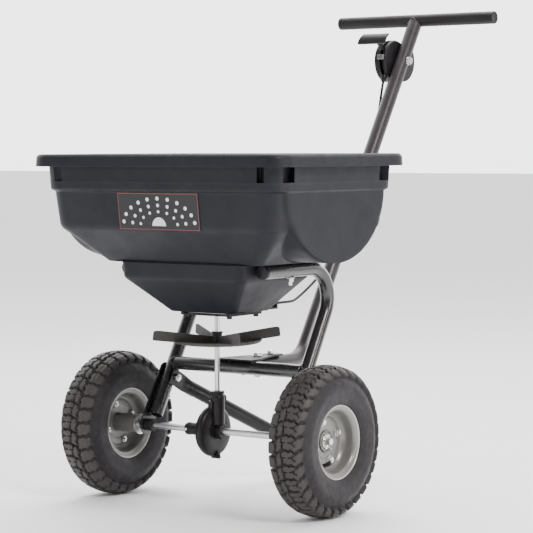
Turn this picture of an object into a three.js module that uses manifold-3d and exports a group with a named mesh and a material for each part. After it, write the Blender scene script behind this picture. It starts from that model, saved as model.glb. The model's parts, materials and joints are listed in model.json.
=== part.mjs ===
// A walk-behind broadcast spreader: a moulded hopper on a bent-tube frame, two pneumatic wheels, and an
// axle that drives a spinning impeller through a small gearbox. A lever on the pole works the gate.
// Millimetres, +Z up, X along the axle. The front of the hopper faces -Y and the handle is at +Y.
// Inside the file, Y = 0 is the axle. The exported group is shifted so that its origin is on the
// ground at the middle of the whole machine.
import * as THREE from "three";
import { mergeVertices } from "three/addons/utils/BufferGeometryUtils.js";
import Module from "manifold-3d";

const wasm = await Module();
wasm.setup();

// ---------------------------------------------------------------- driving dimensions
const GAP = 0.3; // between pieces that touch
const TUBE_R = 12.7; // one-inch frame tube
const POLE_R = 14.3; // handle pole
const TUBE_WALL = 1.5;
const AXLE_R = 6.35;
const SHAFT_R = 4.75;

const WHEEL_R = 134;
const TYRE_HALF_WIDTH = 40;
const WHEEL_X = 235.6; // centre plane of each wheel
const HUB_R = 17;
const HUB_INNER_X = 183;
const HUB_OUTER_X = 238;
const AXLE_END_X = 250;
const AXLE_Z = WHEEL_R;

const SIDE_X = 152; // side tubes
const SIDE_Z = 430.5;
const SIDE_FRONT_Y = -64;
const LEG_SLOPE = 0.58; // Y per Z along the legs
const LEG_END_Z = 152;
const SIDE_BEND_R = 55;
const CROSS_Z = 245;
const BRACKET_TOP_Z = 231;
const STAND_BOLT_Z = 219;

const STAND_TIP_Y = 435; // where the stand's bend touches the ground
const STAND_HALF_ANGLE = 15;
const STAND_BEND_R = 40;
const STAND_END_X = 136.5;

const POLE_Z = 243.4; // the pole's level run under the plate
const POLE_CORNER_Y = 262;
const POLE_BEND_R = 60;
const BAR_Y = 679;
const BAR_Z = 906;
const BAR_HALF = 185.5;

const HOPPER_Y = 8;
const WALL = 3.3;
const RIM_HALF_X = 279.5;
const RIM_HALF_Y = 209.5;
const RIM_TOP_Z = 637;
const LEDGE_Z = SIDE_Z + TUBE_R + GAP;
const FLOOR_Z = 353;
const HOPPER_BOLT_Y = 14;

const IMPELLER_Z = 292;
const IMPELLER_R = 122;
const DISH_R = 82;

const GEAR_TEETH = 40;
const PINION_TEETH = 8;
const PINION_PITCH_R = 7.6;
const GEAR_PITCH_R = (PINION_PITCH_R * GEAR_TEETH) / PINION_TEETH;

const CONTROL_Z = 822; // the lever's pivot, on the pole's centre line
const DRUM_R = 42;
const LEVER_X = -24;
const LEVER_ANGLE = 144; // in the YZ plane, from +Y towards +Z
const STOP_ANGLE = 170;

const legY = (z) => LEG_SLOPE * (z - AXLE_Z);
const poleSlope = (BAR_Z - POLE_Z) / (BAR_Y - POLE_CORNER_Y); // Z per Y
const poleY = (z) => POLE_CORNER_Y + (z - POLE_Z) / poleSlope;

// ---------------------------------------------------------------- solids
const X = new THREE.Vector3(1, 0, 0);
const Z = new THREE.Vector3(0, 0, 1);
const at = (x, y, z) => new THREE.Vector3(x, y, z);
const radians = THREE.MathUtils.degToRad;

function toSolid(geometry) {
  const bare = new THREE.BufferGeometry();
  const source = geometry.index ? geometry.toNonIndexed() : geometry;
  bare.setAttribute("position", source.getAttribute("position"));
  const merged = mergeVertices(bare, 1e-4);
  return new wasm.Manifold(
    new wasm.Mesh({
      numProp: 3,
      vertProperties: merged.attributes.position.array,
      triVerts: new Uint32Array(merged.index.array),
    }),
  );
}

function toGeometry(made) {
  const mesh = made.getMesh();
  const geometry = new THREE.BufferGeometry();
  geometry.setAttribute("position", new THREE.BufferAttribute(mesh.vertProperties, 3));
  geometry.setIndex(new THREE.BufferAttribute(mesh.triVerts, 1));
  return geometry;
}

function join(...geometries) {
  return toGeometry(geometries.map(toSolid).reduce((a, b) => a.add(b)));
}

function cut(geometry, ...tools) {
  return toGeometry(tools.map(toSolid).reduce((a, b) => a.subtract(b), toSolid(geometry)));
}

function common(geometry, tool) {
  return toGeometry(toSolid(geometry).intersect(toSolid(tool)));
}

// A round bar from one point to another, tapered if a second radius is given.
function rod(radius, from, to, sides = 16, endRadius = radius) {
  const along = to.clone().sub(from);
  const turn = new THREE.Quaternion().setFromUnitVectors(at(0, 1, 0), along.clone().normalize());
  return new THREE.CylinderGeometry(endRadius, radius, along.length(), sides)
    .applyQuaternion(turn)
    .translate(...from.clone().lerp(to, 0.5).toArray());
}

const rodX = (radius, y, z, x0, x1, sides) => rod(radius, at(x0, y, z), at(x1, y, z), sides);
const rodZ = (radius, x, y, z0, z1, sides) => rod(radius, at(x, y, z0), at(x, y, z1), sides);
const hexX = (across, y, z, x0, x1) => rodX(across / Math.sqrt(3), y, z, x0, x1, 6);
const hexZ = (across, x, y, z0, z1) => rodZ(across / Math.sqrt(3), x, y, z0, z1, 6);

function box(x0, x1, y0, y1, z0, z1) {
  return new THREE.BoxGeometry(x1 - x0, y1 - y0, z1 - z0).translate(
    (x0 + x1) / 2,
    (y0 + y1) / 2,
    (z0 + z1) / 2,
  );
}

// The same triangles with their faces turned the other way.
function reversed(geometry) {
  const turned = geometry.index ? geometry.toNonIndexed() : geometry.clone();
  const p = turned.getAttribute("position");
  for (let i = 0; i < p.count; i += 3) {
    const swap = at(0, 0, 0).fromBufferAttribute(p, i + 1);
    p.setXYZ(i + 1, p.getX(i + 2), p.getY(i + 2), p.getZ(i + 2));
    p.setXYZ(i + 2, swap.x, swap.y, swap.z);
  }
  return turned;
}

const mirrored = (geometry) => reversed(geometry).scale(-1, 1, 1);

// Straight runs joined by round bends. Its stations are dense in the bends and absent on the straights.
class BentRun extends THREE.Curve {
  constructor(corners, bendRadii, bendSteps = 8) {
    super();
    const last = corners.length - 1;
    const first = corners[1].clone().sub(corners[0]).normalize();
    this.stations = [{ point: corners[0], tangent: first }];
    for (let i = 1; i < last; i++) {
      const before = corners[i].clone().sub(corners[i - 1]).normalize();
      const after = corners[i + 1].clone().sub(corners[i]).normalize();
      const axis = before.clone().cross(after).normalize();
      const turn = before.angleTo(after);
      if (turn < 1e-3) {
        this.stations.push({ point: corners[i], tangent: before });
        continue;
      }
      const start = corners[i].clone().addScaledVector(before, -bendRadii[i - 1] * Math.tan(turn / 2));
      const spoke = axis.clone().cross(before).multiplyScalar(-bendRadii[i - 1]);
      const centre = start.clone().sub(spoke);
      for (let k = 0; k <= bendSteps; k++) {
        const angle = (turn * k) / bendSteps;
        this.stations.push({
          point: spoke.clone().applyAxisAngle(axis, angle).add(centre),
          tangent: before.clone().applyAxisAngle(axis, angle),
        });
      }
    }
    const end = corners[last].clone().sub(corners[last - 1]).normalize();
    this.stations.push({ point: corners[last], tangent: end });
  }
  station(u) {
    return this.stations[Math.round(u * (this.stations.length - 1))];
  }
  getPointAt(u) {
    return this.station(u).point.clone();
  }
  getTangentAt(u) {
    return this.station(u).tangent.clone();
  }
}

const regularPolygon = (radius, sides) =>
  Array.from({ length: sides }, (_, i) => {
    const angle = (i * 2 * Math.PI) / sides;
    return new THREE.Vector2(radius * Math.cos(angle), radius * Math.sin(angle));
  });

// A thin-walled tube along a run. The bore has half as many sides as the outside.
function sweep(run, radius, wall, sides = 16) {
  const ring = new THREE.Shape(regularPolygon(radius, sides));
  ring.holes.push(new THREE.Path(regularPolygon(radius - wall, sides / 2)));
  return new THREE.ExtrudeGeometry(ring, { steps: run.stations.length - 1, extrudePath: run });
}

function extrude(shape, depth, curveSegments = 8) {
  return new THREE.ExtrudeGeometry(shape, { depth, bevelEnabled: false, curveSegments });
}

// A flat plate cut from a shape drawn in (Y, Z), from x0 to x1.
function plateX(shape, x0, x1, curveSegments) {
  const turn = new THREE.Matrix4().makeBasis(at(0, 1, 0), at(0, 0, 1), at(1, 0, 0));
  return extrude(shape, x1 - x0, curveSegments).applyMatrix4(turn).translate(x0, 0, 0);
}

// A solid of revolution about the X axis through (y, z), from [radius, x] pairs.
function latheX(profile, y, z, sides = 32) {
  const points = profile.map(([r, x]) => new THREE.Vector2(r, x));
  return new THREE.LatheGeometry(points, sides).rotateZ(-Math.PI / 2).translate(0, y, z);
}

// Level rounded rectangles, one above the other, joined into a closed body.
const CORNER_STEPS = 4;
function roundedRing({ halfX, halfY, corner, z, y = HOPPER_Y }) {
  const points = [];
  for (let quarter = 0; quarter < 4; quarter++) {
    const signX = quarter === 0 || quarter === 3 ? 1 : -1;
    const signY = quarter < 2 ? 1 : -1;
    for (let k = 0; k <= CORNER_STEPS; k++) {
      const angle = ((quarter + k / CORNER_STEPS) * Math.PI) / 2;
      points.push(
        at(
          signX * (halfX - corner) + corner * Math.cos(angle),
          y + signY * (halfY - corner) + corner * Math.sin(angle),
          z,
        ),
      );
    }
  }
  return points;
}

function loft(rings) {
  const loops = rings.map(roundedRing);
  const count = loops[0].length;
  const faces = [];
  for (let level = 0; level < loops.length - 1; level++) {
    for (let i = 0; i < count; i++) {
      const j = (i + 1) % count;
      const [a, b, c, d] = [loops[level][i], loops[level][j], loops[level + 1][j], loops[level + 1][i]];
      faces.push(a, b, c, a, c, d);
    }
  }
  const bottom = loops[0];
  const top = loops[loops.length - 1];
  for (let i = 1; i < count - 1; i++) {
    faces.push(bottom[0], bottom[i + 1], bottom[i]);
    faces.push(top[0], top[i], top[i + 1]);
  }
  return new THREE.BufferGeometry().setFromPoints(faces);
}

// ---------------------------------------------------------------- the assembly
const frame = new THREE.Group();

const LOOKS = {
  black_paint: { color: 0x1b1b1e, roughness: 0.25, metalness: 0.3 },
  satin_paint: { color: 0x3a383c, roughness: 0.45, metalness: 0.3 },
  hopper_plastic: { color: 0x37393e, roughness: 0.55, metalness: 0 },
  black_plastic: { color: 0x17171a, roughness: 0.5, metalness: 0 },
  grey_plastic: { color: 0x6d6c72, roughness: 0.5, metalness: 0 },
  zinc: { color: 0xc9ccd0, roughness: 0.25, metalness: 1 },
  rim_paint: { color: 0x9c9890, roughness: 0.35, metalness: 0.4 },
  rubber: { color: 0x3f3d3a, roughness: 0.8, metalness: 0 },
};

function add(name, geometry, look) {
  const mesh = new THREE.Mesh(geometry, new THREE.MeshStandardMaterial(LOOKS[look]));
  mesh.name = name;
  frame.add(mesh);
}

// The same piece on the right and, mirrored, on the left.
function addPair(name, geometry, look) {
  add(`right_${name}`, geometry, look);
  add(`left_${name}`, mirrored(geometry), look);
}

// ---------------------------------------------------------------- frame tubes
const legTop = at(SIDE_X, legY(SIDE_Z), SIDE_Z);
const legBottom = at(SIDE_X, legY(LEG_END_Z), LEG_END_Z);
const standBoltY = legY(STAND_BOLT_Z);

const BOLT_R = 4;
const boltHole = BOLT_R + GAP;
const sideTube = cut(
  sweep(
    new BentRun([at(SIDE_X, SIDE_FRONT_Y, SIDE_Z), legTop, legBottom], [SIDE_BEND_R]),
    TUBE_R,
    TUBE_WALL,
  ),
  rodX(boltHole, standBoltY, STAND_BOLT_Z, SIDE_X - 20, SIDE_X + 20, 10),
  rodZ(boltHole, SIDE_X, HOPPER_BOLT_Y, SIDE_Z - 20, SIDE_Z + 20, 10),
);
addPair("side_tube", sideTube, "black_paint");

const PLUG_R = TUBE_R + 0.2;
const PLUG_FIT_R = (TUBE_R - TUBE_WALL) * Math.cos(Math.PI / 8) - GAP;
const plug = join(
  rod(PLUG_R, at(SIDE_X, SIDE_FRONT_Y - GAP, SIDE_Z), at(SIDE_X, -69, SIDE_Z), 16),
  rod(PLUG_R, at(SIDE_X, -69, SIDE_Z), at(SIDE_X, -71, SIDE_Z), 24, PLUG_R - 2),
  rod(PLUG_FIT_R, at(SIDE_X, -66, SIDE_Z), at(SIDE_X, -50, SIDE_Z), 16),
);
addPair("tube_plug", plug, "black_plastic");

const legEnvelope = rod(TUBE_R + GAP, legBottom, legTop, 16);
const crossY = legY(CROSS_Z);
const crossRun = new BentRun([at(-SIDE_X, crossY, CROSS_Z), at(SIDE_X, crossY, CROSS_Z)], []);
const crossTube = cut(sweep(crossRun, TUBE_R, TUBE_WALL, 16), legEnvelope, mirrored(legEnvelope));
add("cross_tube", toGeometry(largestPart(toSolid(crossTube))), "black_paint");

// After coping, slivers beyond the saddle are dropped.
function largestPart(made) {
  return made.decompose().reduce((a, b) => (b.volume() > a.volume() ? b : a));
}

// ---------------------------------------------------------------- handle
const PLATE_Z = CROSS_Z + TUBE_R + GAP;
const PLATE_T = 3;
const PLATE_BOLTS_Y = [123, 167];
const plateShape = new THREE.Shape();
plateShape.moveTo(-40, 50).lineTo(40, 50).lineTo(40, 78).lineTo(18, 140).lineTo(18, 176);
plateShape.quadraticCurveTo(18, 186, 8, 186).lineTo(-8, 186).quadraticCurveTo(-18, 186, -18, 176);
plateShape.lineTo(-18, 140).lineTo(-40, 78);
const plateHoles = PLATE_BOLTS_Y.map((y) => rodZ(boltHole, 0, y, PLATE_Z - 60, PLATE_Z + 20, 10));
add(
  "handle_plate",
  cut(extrude(plateShape, PLATE_T, 4).translate(0, 0, PLATE_Z), ...plateHoles),
  "black_paint",
);

const barEnvelope = rodX(TUBE_R + GAP, BAR_Y, BAR_Z, -60, 60, 16);
const poleRun = new BentRun(
  [at(0, crossY + TUBE_R + GAP, POLE_Z), at(0, POLE_CORNER_Y, POLE_Z), at(0, BAR_Y, BAR_Z)],
  [POLE_BEND_R],
);
const controlY = poleY(CONTROL_Z);
const pole = cut(
  sweep(poleRun, POLE_R, TUBE_WALL, 16),
  ...plateHoles,
  barEnvelope,
  rodX(BOLT_R + GAP, controlY, CONTROL_Z, -30, 30, 10),
);
add("handle_tube", toGeometry(largestPart(toSolid(pole))), "satin_paint");

PLATE_BOLTS_Y.forEach((y, i) => {
  const top = PLATE_Z + PLATE_T + GAP;
  const bolt = join(hexZ(13, 0, y, top, top + 5.3), rodZ(BOLT_R, 0, y, POLE_Z - POLE_R - 8, top + 1, 10));
  add(i ? "rear_plate_bolt" : "front_plate_bolt", bolt, "zinc");
});

const CAP_T = 7;
const barRun = new BentRun(
  [at(-BAR_HALF + CAP_T, BAR_Y, BAR_Z), at(BAR_HALF - CAP_T, BAR_Y, BAR_Z)],
  [],
);
add("handle_bar", sweep(barRun, TUBE_R, TUBE_WALL, 16), "satin_paint");
const barCap = join(
  rodX(TUBE_R, BAR_Y, BAR_Z, BAR_HALF - CAP_T + GAP, BAR_HALF - 3, 16),
  rod(TUBE_R, at(BAR_HALF - 3, BAR_Y, BAR_Z), at(BAR_HALF, BAR_Y, BAR_Z), 24, TUBE_R - 4),
  rodX(PLUG_FIT_R, BAR_Y, BAR_Z, BAR_HALF - 25, BAR_HALF - CAP_T + 1, 16),
);
addPair("bar_cap", barCap, "black_plastic");

// ---------------------------------------------------------------- rear stand
// Drawn level with its length along Y, then tipped down about the bolts' line.
const standReach = Math.hypot(STAND_TIP_Y - standBoltY, STAND_BOLT_Z - TUBE_R);
const standTip = standReach + STAND_BEND_R / Math.sin(radians(STAND_HALF_ANGLE)) - STAND_BEND_R;
const standKnee = standTip - STAND_END_X / Math.tan(radians(STAND_HALF_ANGLE));
const STAND_TAIL = 14; // beyond the bolt
const FLAT_LENGTH = 22;
const TAPER_LENGTH = 38;
const FLAT_HALF = 2.5;
const FLAT_WIDEN = 1.25;

function flattenedEnds(geometry) {
  const p = geometry.getAttribute("position");
  for (let i = 0; i < p.count; i++) {
    const blend = THREE.MathUtils.clamp((p.getY(i) - FLAT_LENGTH) / TAPER_LENGTH, 0, 1);
    const side = Math.sign(p.getX(i));
    const middle = side * STAND_END_X;
    const squeeze = THREE.MathUtils.lerp(FLAT_HALF / TUBE_R, 1, blend);
    const widen = THREE.MathUtils.lerp(FLAT_WIDEN, 1, blend);
    if (blend < 1) p.setXYZ(i, middle + (p.getX(i) - middle) * squeeze, p.getY(i), p.getZ(i) * widen);
  }
  return geometry;
}

const KNEE_R = 30;
const standArm = at(STAND_END_X, standKnee, 0).lerp(at(0, standTip, 0), 0.05);
const standRun = new BentRun(
  [
    at(-STAND_END_X, -STAND_TAIL, 0),
    at(-STAND_END_X, FLAT_LENGTH, 0),
    at(-STAND_END_X, standKnee, 0),
    standArm.clone().setX(-standArm.x),
    at(0, standTip, 0),
    standArm,
    at(STAND_END_X, standKnee, 0),
    at(STAND_END_X, FLAT_LENGTH, 0),
    at(STAND_END_X, -STAND_TAIL, 0),
  ],
  [0, KNEE_R, 0, STAND_BEND_R, 0, KNEE_R, 0],
  4,
);
const standTilt = Math.asin((STAND_BOLT_Z - TUBE_R) / standReach);
const stand = cut(
  flattenedEnds(sweep(standRun, TUBE_R, TUBE_WALL))
    .rotateX(-standTilt)
    .translate(0, standBoltY, STAND_BOLT_Z),
  rodX(boltHole, standBoltY, STAND_BOLT_Z, -160, 160, 10),
);
add("stand", stand, "black_paint");

const BRACKET_X = SIDE_X + TUBE_R + GAP;
const BRACKET_T = 3;
const standBolt = join(
  hexX(13, standBoltY, STAND_BOLT_Z, BRACKET_X + BRACKET_T + GAP, BRACKET_X + BRACKET_T + 5.6),
  rodX(BOLT_R, standBoltY, STAND_BOLT_Z, STAND_END_X - 12, BRACKET_X + BRACKET_T + 1, 10),
);
addPair("stand_bolt", standBolt, "zinc");
const NUT_IN = STAND_END_X - FLAT_HALF - GAP;
const standNut = cut(
  hexX(13, standBoltY, STAND_BOLT_Z, NUT_IN - 6.5, NUT_IN),
  rodX(boltHole, standBoltY, STAND_BOLT_Z, NUT_IN - 10, NUT_IN + 5, 10),
);
addPair("stand_nut", standNut, "zinc");

// ---------------------------------------------------------------- axle brackets and bushings
const BUSHING_R = 8.6;
function slotShape(y0, z0, r0, y1, z1, r1) {
  const lean = Math.atan2(z1 - z0, y1 - y0);
  const shape = new THREE.Shape();
  shape.absarc(y0, z0, r0, lean + Math.PI / 2, lean + 1.5 * Math.PI);
  shape.absarc(y1, z1, r1, lean - Math.PI / 2, lean + Math.PI / 2);
  return shape;
}
const bracketShape = slotShape(0, AXLE_Z, 18, legY(BRACKET_TOP_Z), BRACKET_TOP_Z, 15);
const bracket = cut(
  plateX(bracketShape, BRACKET_X, BRACKET_X + BRACKET_T, 10),
  rodX(BUSHING_R + GAP, 0, AXLE_Z, BRACKET_X - 5, BRACKET_X + 10, 16),
  rodX(boltHole, standBoltY, STAND_BOLT_Z, BRACKET_X - 5, BRACKET_X + 10, 10),
);
addPair("axle_bracket", bracket, "black_paint");

const AXLE_BORE_R = AXLE_R + GAP;
const bushing = cut(
  join(
    rodX(11, 0, AXLE_Z, SIDE_X - 5, BRACKET_X - GAP, 16),
    rodX(BUSHING_R, 0, AXLE_Z, SIDE_X, BRACKET_X + BRACKET_T + 3, 16),
  ),
  rodX(AXLE_BORE_R, 0, AXLE_Z, SIDE_X - 20, SIDE_X + 40, 16),
);
addPair("axle_bushing", bushing, "black_plastic");

// ---------------------------------------------------------------- hopper
const TROUGH = { halfX: 258, centreZ: 575, a: 153, b: 129 };
const hopperLevels = [
  { halfX: 73, halfY: 57, corner: 14, z: FLOOR_Z, y: 8 },
  { halfX: 136, halfY: 106, corner: 16, z: 415, y: -2 },
  { halfX: 138, halfY: 108, corner: 16, z: LEDGE_Z, y: -2 },
  { halfX: 172, halfY: 113, corner: 14, z: LEDGE_Z },
  { halfX: 246, halfY: 174, corner: 34, z: 506 },
  { halfX: 253, halfY: 182, corner: 38, z: 570 },
  { halfX: 260, halfY: 189, corner: 42, z: 574 },
  { halfX: 263, halfY: 192, corner: 42, z: 625 },
];

// The space inside: every level is drawn in by the wall, and level floors rise by it.
function innerLevels() {
  const inset = (level, dz) => ({
    ...level,
    halfX: level.halfX - WALL,
    halfY: level.halfY - WALL,
    corner: level.corner - WALL,
    z: level.z + dz,
  });
  const inner = hopperLevels.map((level) => inset(level, level.z < 500 && level.z !== 415 ? WALL : 0));
  inner.push({ ...inner[inner.length - 1], z: RIM_TOP_Z + 20 });
  return inner;
}

function trough(shrink) {
  const shape = new THREE.Shape();
  const { halfX, centreZ, a, b } = TROUGH;
  shape.absellipse(HOPPER_Y, centreZ, a - shrink, b - shrink, Math.PI, 2 * Math.PI);
  return plateX(shape, -halfX + shrink, halfX - shrink, 10);
}

const LIP_Z = 615;
const rim = cut(
  loft([
    { halfX: RIM_HALF_X, halfY: RIM_HALF_Y, corner: 45, z: LIP_Z },
    { halfX: RIM_HALF_X - 1, halfY: RIM_HALF_Y - 1, corner: 44, z: RIM_TOP_Z - 5 },
    { halfX: RIM_HALF_X - 5, halfY: RIM_HALF_Y - 5, corner: 41, z: RIM_TOP_Z },
  ]),
  loft([
    { halfX: RIM_HALF_X - WALL, halfY: RIM_HALF_Y - WALL, corner: 42, z: LIP_Z - 5 },
    { halfX: RIM_HALF_X - WALL - 1, halfY: RIM_HALF_Y - WALL - 1, corner: 41, z: RIM_TOP_Z - WALL },
  ]),
);
const PORTS_X = [-34, 34];
const PORT_Y = 14;
const PORT_R = 11;
const portHoles = (y, z0, z1) => PORTS_X.map((x) => rodZ(PORT_R, x, y, z0, z1, 16));
const hopperBoltHoles = [-SIDE_X, SIDE_X].map((x) =>
  rodZ(boltHole, x, HOPPER_BOLT_Y, LEDGE_Z - 5, LEDGE_Z + 10, 10),
);
const BUSH_NECK_R = 8;
const hopper = cut(
  join(
    loft([...hopperLevels, { ...hopperLevels[hopperLevels.length - 1], z: RIM_TOP_Z - 1 }]),
    trough(0),
    rim,
  ),
  loft(innerLevels()),
  trough(WALL),
  ...portHoles(PORT_Y, FLOOR_Z - 5, FLOOR_Z + 10),
  rodZ(BUSH_NECK_R + GAP, 0, 0, FLOOR_Z - 5, FLOOR_Z + 10, 16),
  ...hopperBoltHoles,
);
add("hopper", toGeometry(largestPart(toSolid(hopper))), "hopper_plastic");

const ledgeTop = LEDGE_Z + WALL + GAP;
const hopperBolt = join(
  hexZ(13, SIDE_X, HOPPER_BOLT_Y, ledgeTop, ledgeTop + 5),
  rodZ(BOLT_R, SIDE_X, HOPPER_BOLT_Y, SIDE_Z - TUBE_R - 14, ledgeTop + 1, 10),
);
addPair("hopper_bolt", hopperBolt, "zinc");
const nutTop = SIDE_Z - TUBE_R - GAP;
const hopperNut = cut(
  hexZ(13, SIDE_X, HOPPER_BOLT_Y, nutTop - 6.5, nutTop),
  rodZ(boltHole, SIDE_X, HOPPER_BOLT_Y, nutTop - 10, nutTop + 5, 10),
);
addPair("hopper_nut", hopperNut, "zinc");

// ---------------------------------------------------------------- gate under the hopper
const GATE_TRAVEL = 32;
const GATE_T = 2.5;
const gateTop = FLOOR_Z - GAP * 2;
const gateBottom = gateTop - GATE_T;
const GUIDE_FLOOR_T = 3;
const guideBottom = gateBottom - GAP * 2 - GUIDE_FLOOR_T;
const GATE_HALF_X = 48;
const TAIL_HALF_X = 9;
const PIN_Y = 116; // the wire's pin on the gate's tail
const WIRE_Z = gateTop + 3.5;
const SHEATH_STOP_Y = 168; // upstand that the cable's sheath butts against
const SLOT_R = 10;
const SLOT_SPARE = 7; // beyond the shaft at either end of the gate's travel
const shaftSlot = new THREE.Shape();
shaftSlot.absarc(0, -SLOT_SPARE, SLOT_R, Math.PI, 2 * Math.PI);
shaftSlot.absarc(0, GATE_TRAVEL + SLOT_SPARE, SLOT_R, 0, Math.PI);
const gate = cut(
  join(
    box(-GATE_HALF_X, GATE_HALF_X, -26, 66, gateBottom, gateTop),
    box(-TAIL_HALF_X, TAIL_HALF_X, 60, PIN_Y + 8, gateBottom, gateTop),
    rodZ(3, 0, PIN_Y, gateBottom + 1, gateTop + 6, 10),
  ),
  ...portHoles(PORT_Y, gateBottom - 5, gateTop + 5),
  extrude(shaftSlot, 20, 8).translate(0, 0, gateBottom - 10),
);
add("gate", gate, "zinc");

const GUIDE_HALF_X = 55;
const GUIDE_BOSS_X = 49;
const guide = cut(
  join(
    box(-GUIDE_HALF_X, GUIDE_HALF_X, -36, 62, guideBottom, FLOOR_Z - GAP),
    box(-TAIL_HALF_X - 3, TAIL_HALF_X + 3, 60, SHEATH_STOP_Y + 4, guideBottom, guideBottom + GUIDE_FLOOR_T),
    box(-TAIL_HALF_X - 3, TAIL_HALF_X + 3, SHEATH_STOP_Y, SHEATH_STOP_Y + 4, guideBottom, WIRE_Z + 5),
    ...[-1, 1].flatMap((side) =>
      [-28, 52].map((y) => rodZ(5, side * GUIDE_BOSS_X, y, guideBottom - 4.5, guideBottom + 1, 10)),
    ),
  ),
  box(-GATE_HALF_X - 0.5, GATE_HALF_X + 0.5, -90, 90, guideBottom + GUIDE_FLOOR_T, FLOOR_Z + 10),
  ...portHoles(PORT_Y, guideBottom - 5, guideBottom + 8),
  rodZ(10, 0, 0, guideBottom - 5, guideBottom + 8, 16),
  rod(1.8, at(0, SHEATH_STOP_Y - 5, WIRE_Z), at(0, SHEATH_STOP_Y + 10, WIRE_Z), 8),
);
add("gate_guide", guide, "black_plastic");

// ---------------------------------------------------------------- impeller, shaft and agitator
const SHAFT_BORE_R = SHAFT_R + GAP;
const shaftBore = rodZ(SHAFT_BORE_R, 0, 0, 100, 420, 16);
const shaftBushing = cut(
  join(
    rodZ(BUSH_NECK_R, 0, 0, FLOOR_Z + 0.2, FLOOR_Z + WALL + 2, 16),
    rodZ(13, 0, 0, FLOOR_Z + WALL + GAP, FLOOR_Z + WALL + 5, 16),
  ),
  shaftBore,
);
add("shaft_bushing", shaftBushing, "black_plastic");

const SHAFT_BOTTOM_Z = 153;
const SHAFT_TOP_Z = 388;
add("drive_shaft", rodZ(SHAFT_R, 0, 0, SHAFT_BOTTOM_Z, SHAFT_TOP_Z, 16), "zinc");

const AGITATOR_Z = 368;
const agitator = cut(
  join(
    rodZ(9, 0, 0, AGITATOR_Z, AGITATOR_Z + 16, 16),
    ...[0, 180].map((turn) =>
      rod(3, at(6, 0, AGITATOR_Z + 8), at(44, 0, AGITATOR_Z + 22), 10).rotateZ(radians(turn)),
    ),
  ),
  shaftBore,
);
add("agitator", agitator, "zinc");

// Four upright blades on a shallow dish. Each blade reaches past the dish and rises outwards.
const BLADE_T = 3;
function blade(angle) {
  const side = new THREE.Shape();
  side.moveTo(7, 4).lineTo(DISH_R, 6.5).lineTo(IMPELLER_R - 1, 11).lineTo(IMPELLER_R, 14);
  side.quadraticCurveTo(IMPELLER_R - 2, 28, IMPELLER_R - 12, 28.5).lineTo(7, 15);
  const upright = extrude(side, BLADE_T, 4).translate(0, 0, -BLADE_T / 2).rotateX(Math.PI / 2);
  return upright.rotateZ(radians(angle)).translate(0, 0, IMPELLER_Z);
}
const DISH_PROFILE = [
  [0, 0],
  [60, 0],
  [DISH_R - 4, 3.5],
  [DISH_R, 8],
  [DISH_R - 2, 9],
  [DISH_R - 6, 6.5],
  [60, 4],
  [0, 4],
];
const dish = new THREE.LatheGeometry(
  DISH_PROFILE.map(([r, z]) => new THREE.Vector2(r, z)),
  32,
)
  .rotateX(Math.PI / 2)
  .translate(0, 0, IMPELLER_Z);
const impeller = cut(
  join(dish, rodZ(9, 0, 0, IMPELLER_Z + 1, 315, 16), ...[56, 146, 236, 326].map(blade)),
  shaftBore,
);
add("impeller", impeller, "black_plastic");

// ---------------------------------------------------------------- gearbox
// The face gear turns with the axle and its teeth point towards +X, into the upright pinion.
const FACE_X = -9.2; // face that the teeth stand on
const TOOTH_TOP_X = -6.7;
const MESH_IN_R = GEAR_PITCH_R - 4;
const MESH_OUT_R = GEAR_PITCH_R + 4;
const TOOTH_T = 1.7;
const gearTooth = (i) =>
  box(FACE_X - 0.5, TOOTH_TOP_X, -TOOTH_T / 2, TOOTH_T / 2, MESH_IN_R, MESH_OUT_R).rotateX(
    ((i + 0.5) * 2 * Math.PI) / GEAR_TEETH,
  );
const gearSpokes = [0, 1, 2, 3, 4].map((i) =>
  rodX(7, 0, 24, FACE_X - 10, FACE_X + 2, 8).rotateX((i * 2 * Math.PI) / 5),
);
const gear = cut(
  join(
    rodX(MESH_OUT_R + 0.6, 0, 0, FACE_X - 5, FACE_X, 40),
    rodX(12, 0, 0, -21, FACE_X + 2, 16),
    ...Array.from({ length: GEAR_TEETH }, (_, i) => gearTooth(i)),
  ),
  rodX(AXLE_BORE_R, 0, 0, -60, 60, 16),
  ...gearSpokes,
).translate(0, 0, AXLE_Z);
add("drive_gear", gear, "grey_plastic");

const PINION_TIP_R = 8.8;
const PINION_ROOT_R = 6.3;
const PINION_Z = AXLE_Z + GEAR_PITCH_R - 5;
const pinionTooth = (i) =>
  box(PINION_ROOT_R - 0.6, PINION_TIP_R, -TOOTH_T / 2, TOOTH_T / 2, 0, 10)
    .rotateZ((i * 2 * Math.PI) / PINION_TEETH)
    .translate(0, 0, PINION_Z);
const pinion = cut(
  join(
    rodZ(PINION_ROOT_R, 0, 0, PINION_Z, PINION_Z + 10, 16),
    rodZ(8, 0, 0, PINION_Z + 9.5, PINION_Z + 14, 16),
    ...Array.from({ length: PINION_TEETH }, (_, i) => pinionTooth(i)),
  ),
  shaftBore,
);
add("pinion", pinion, "grey_plastic");

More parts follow.
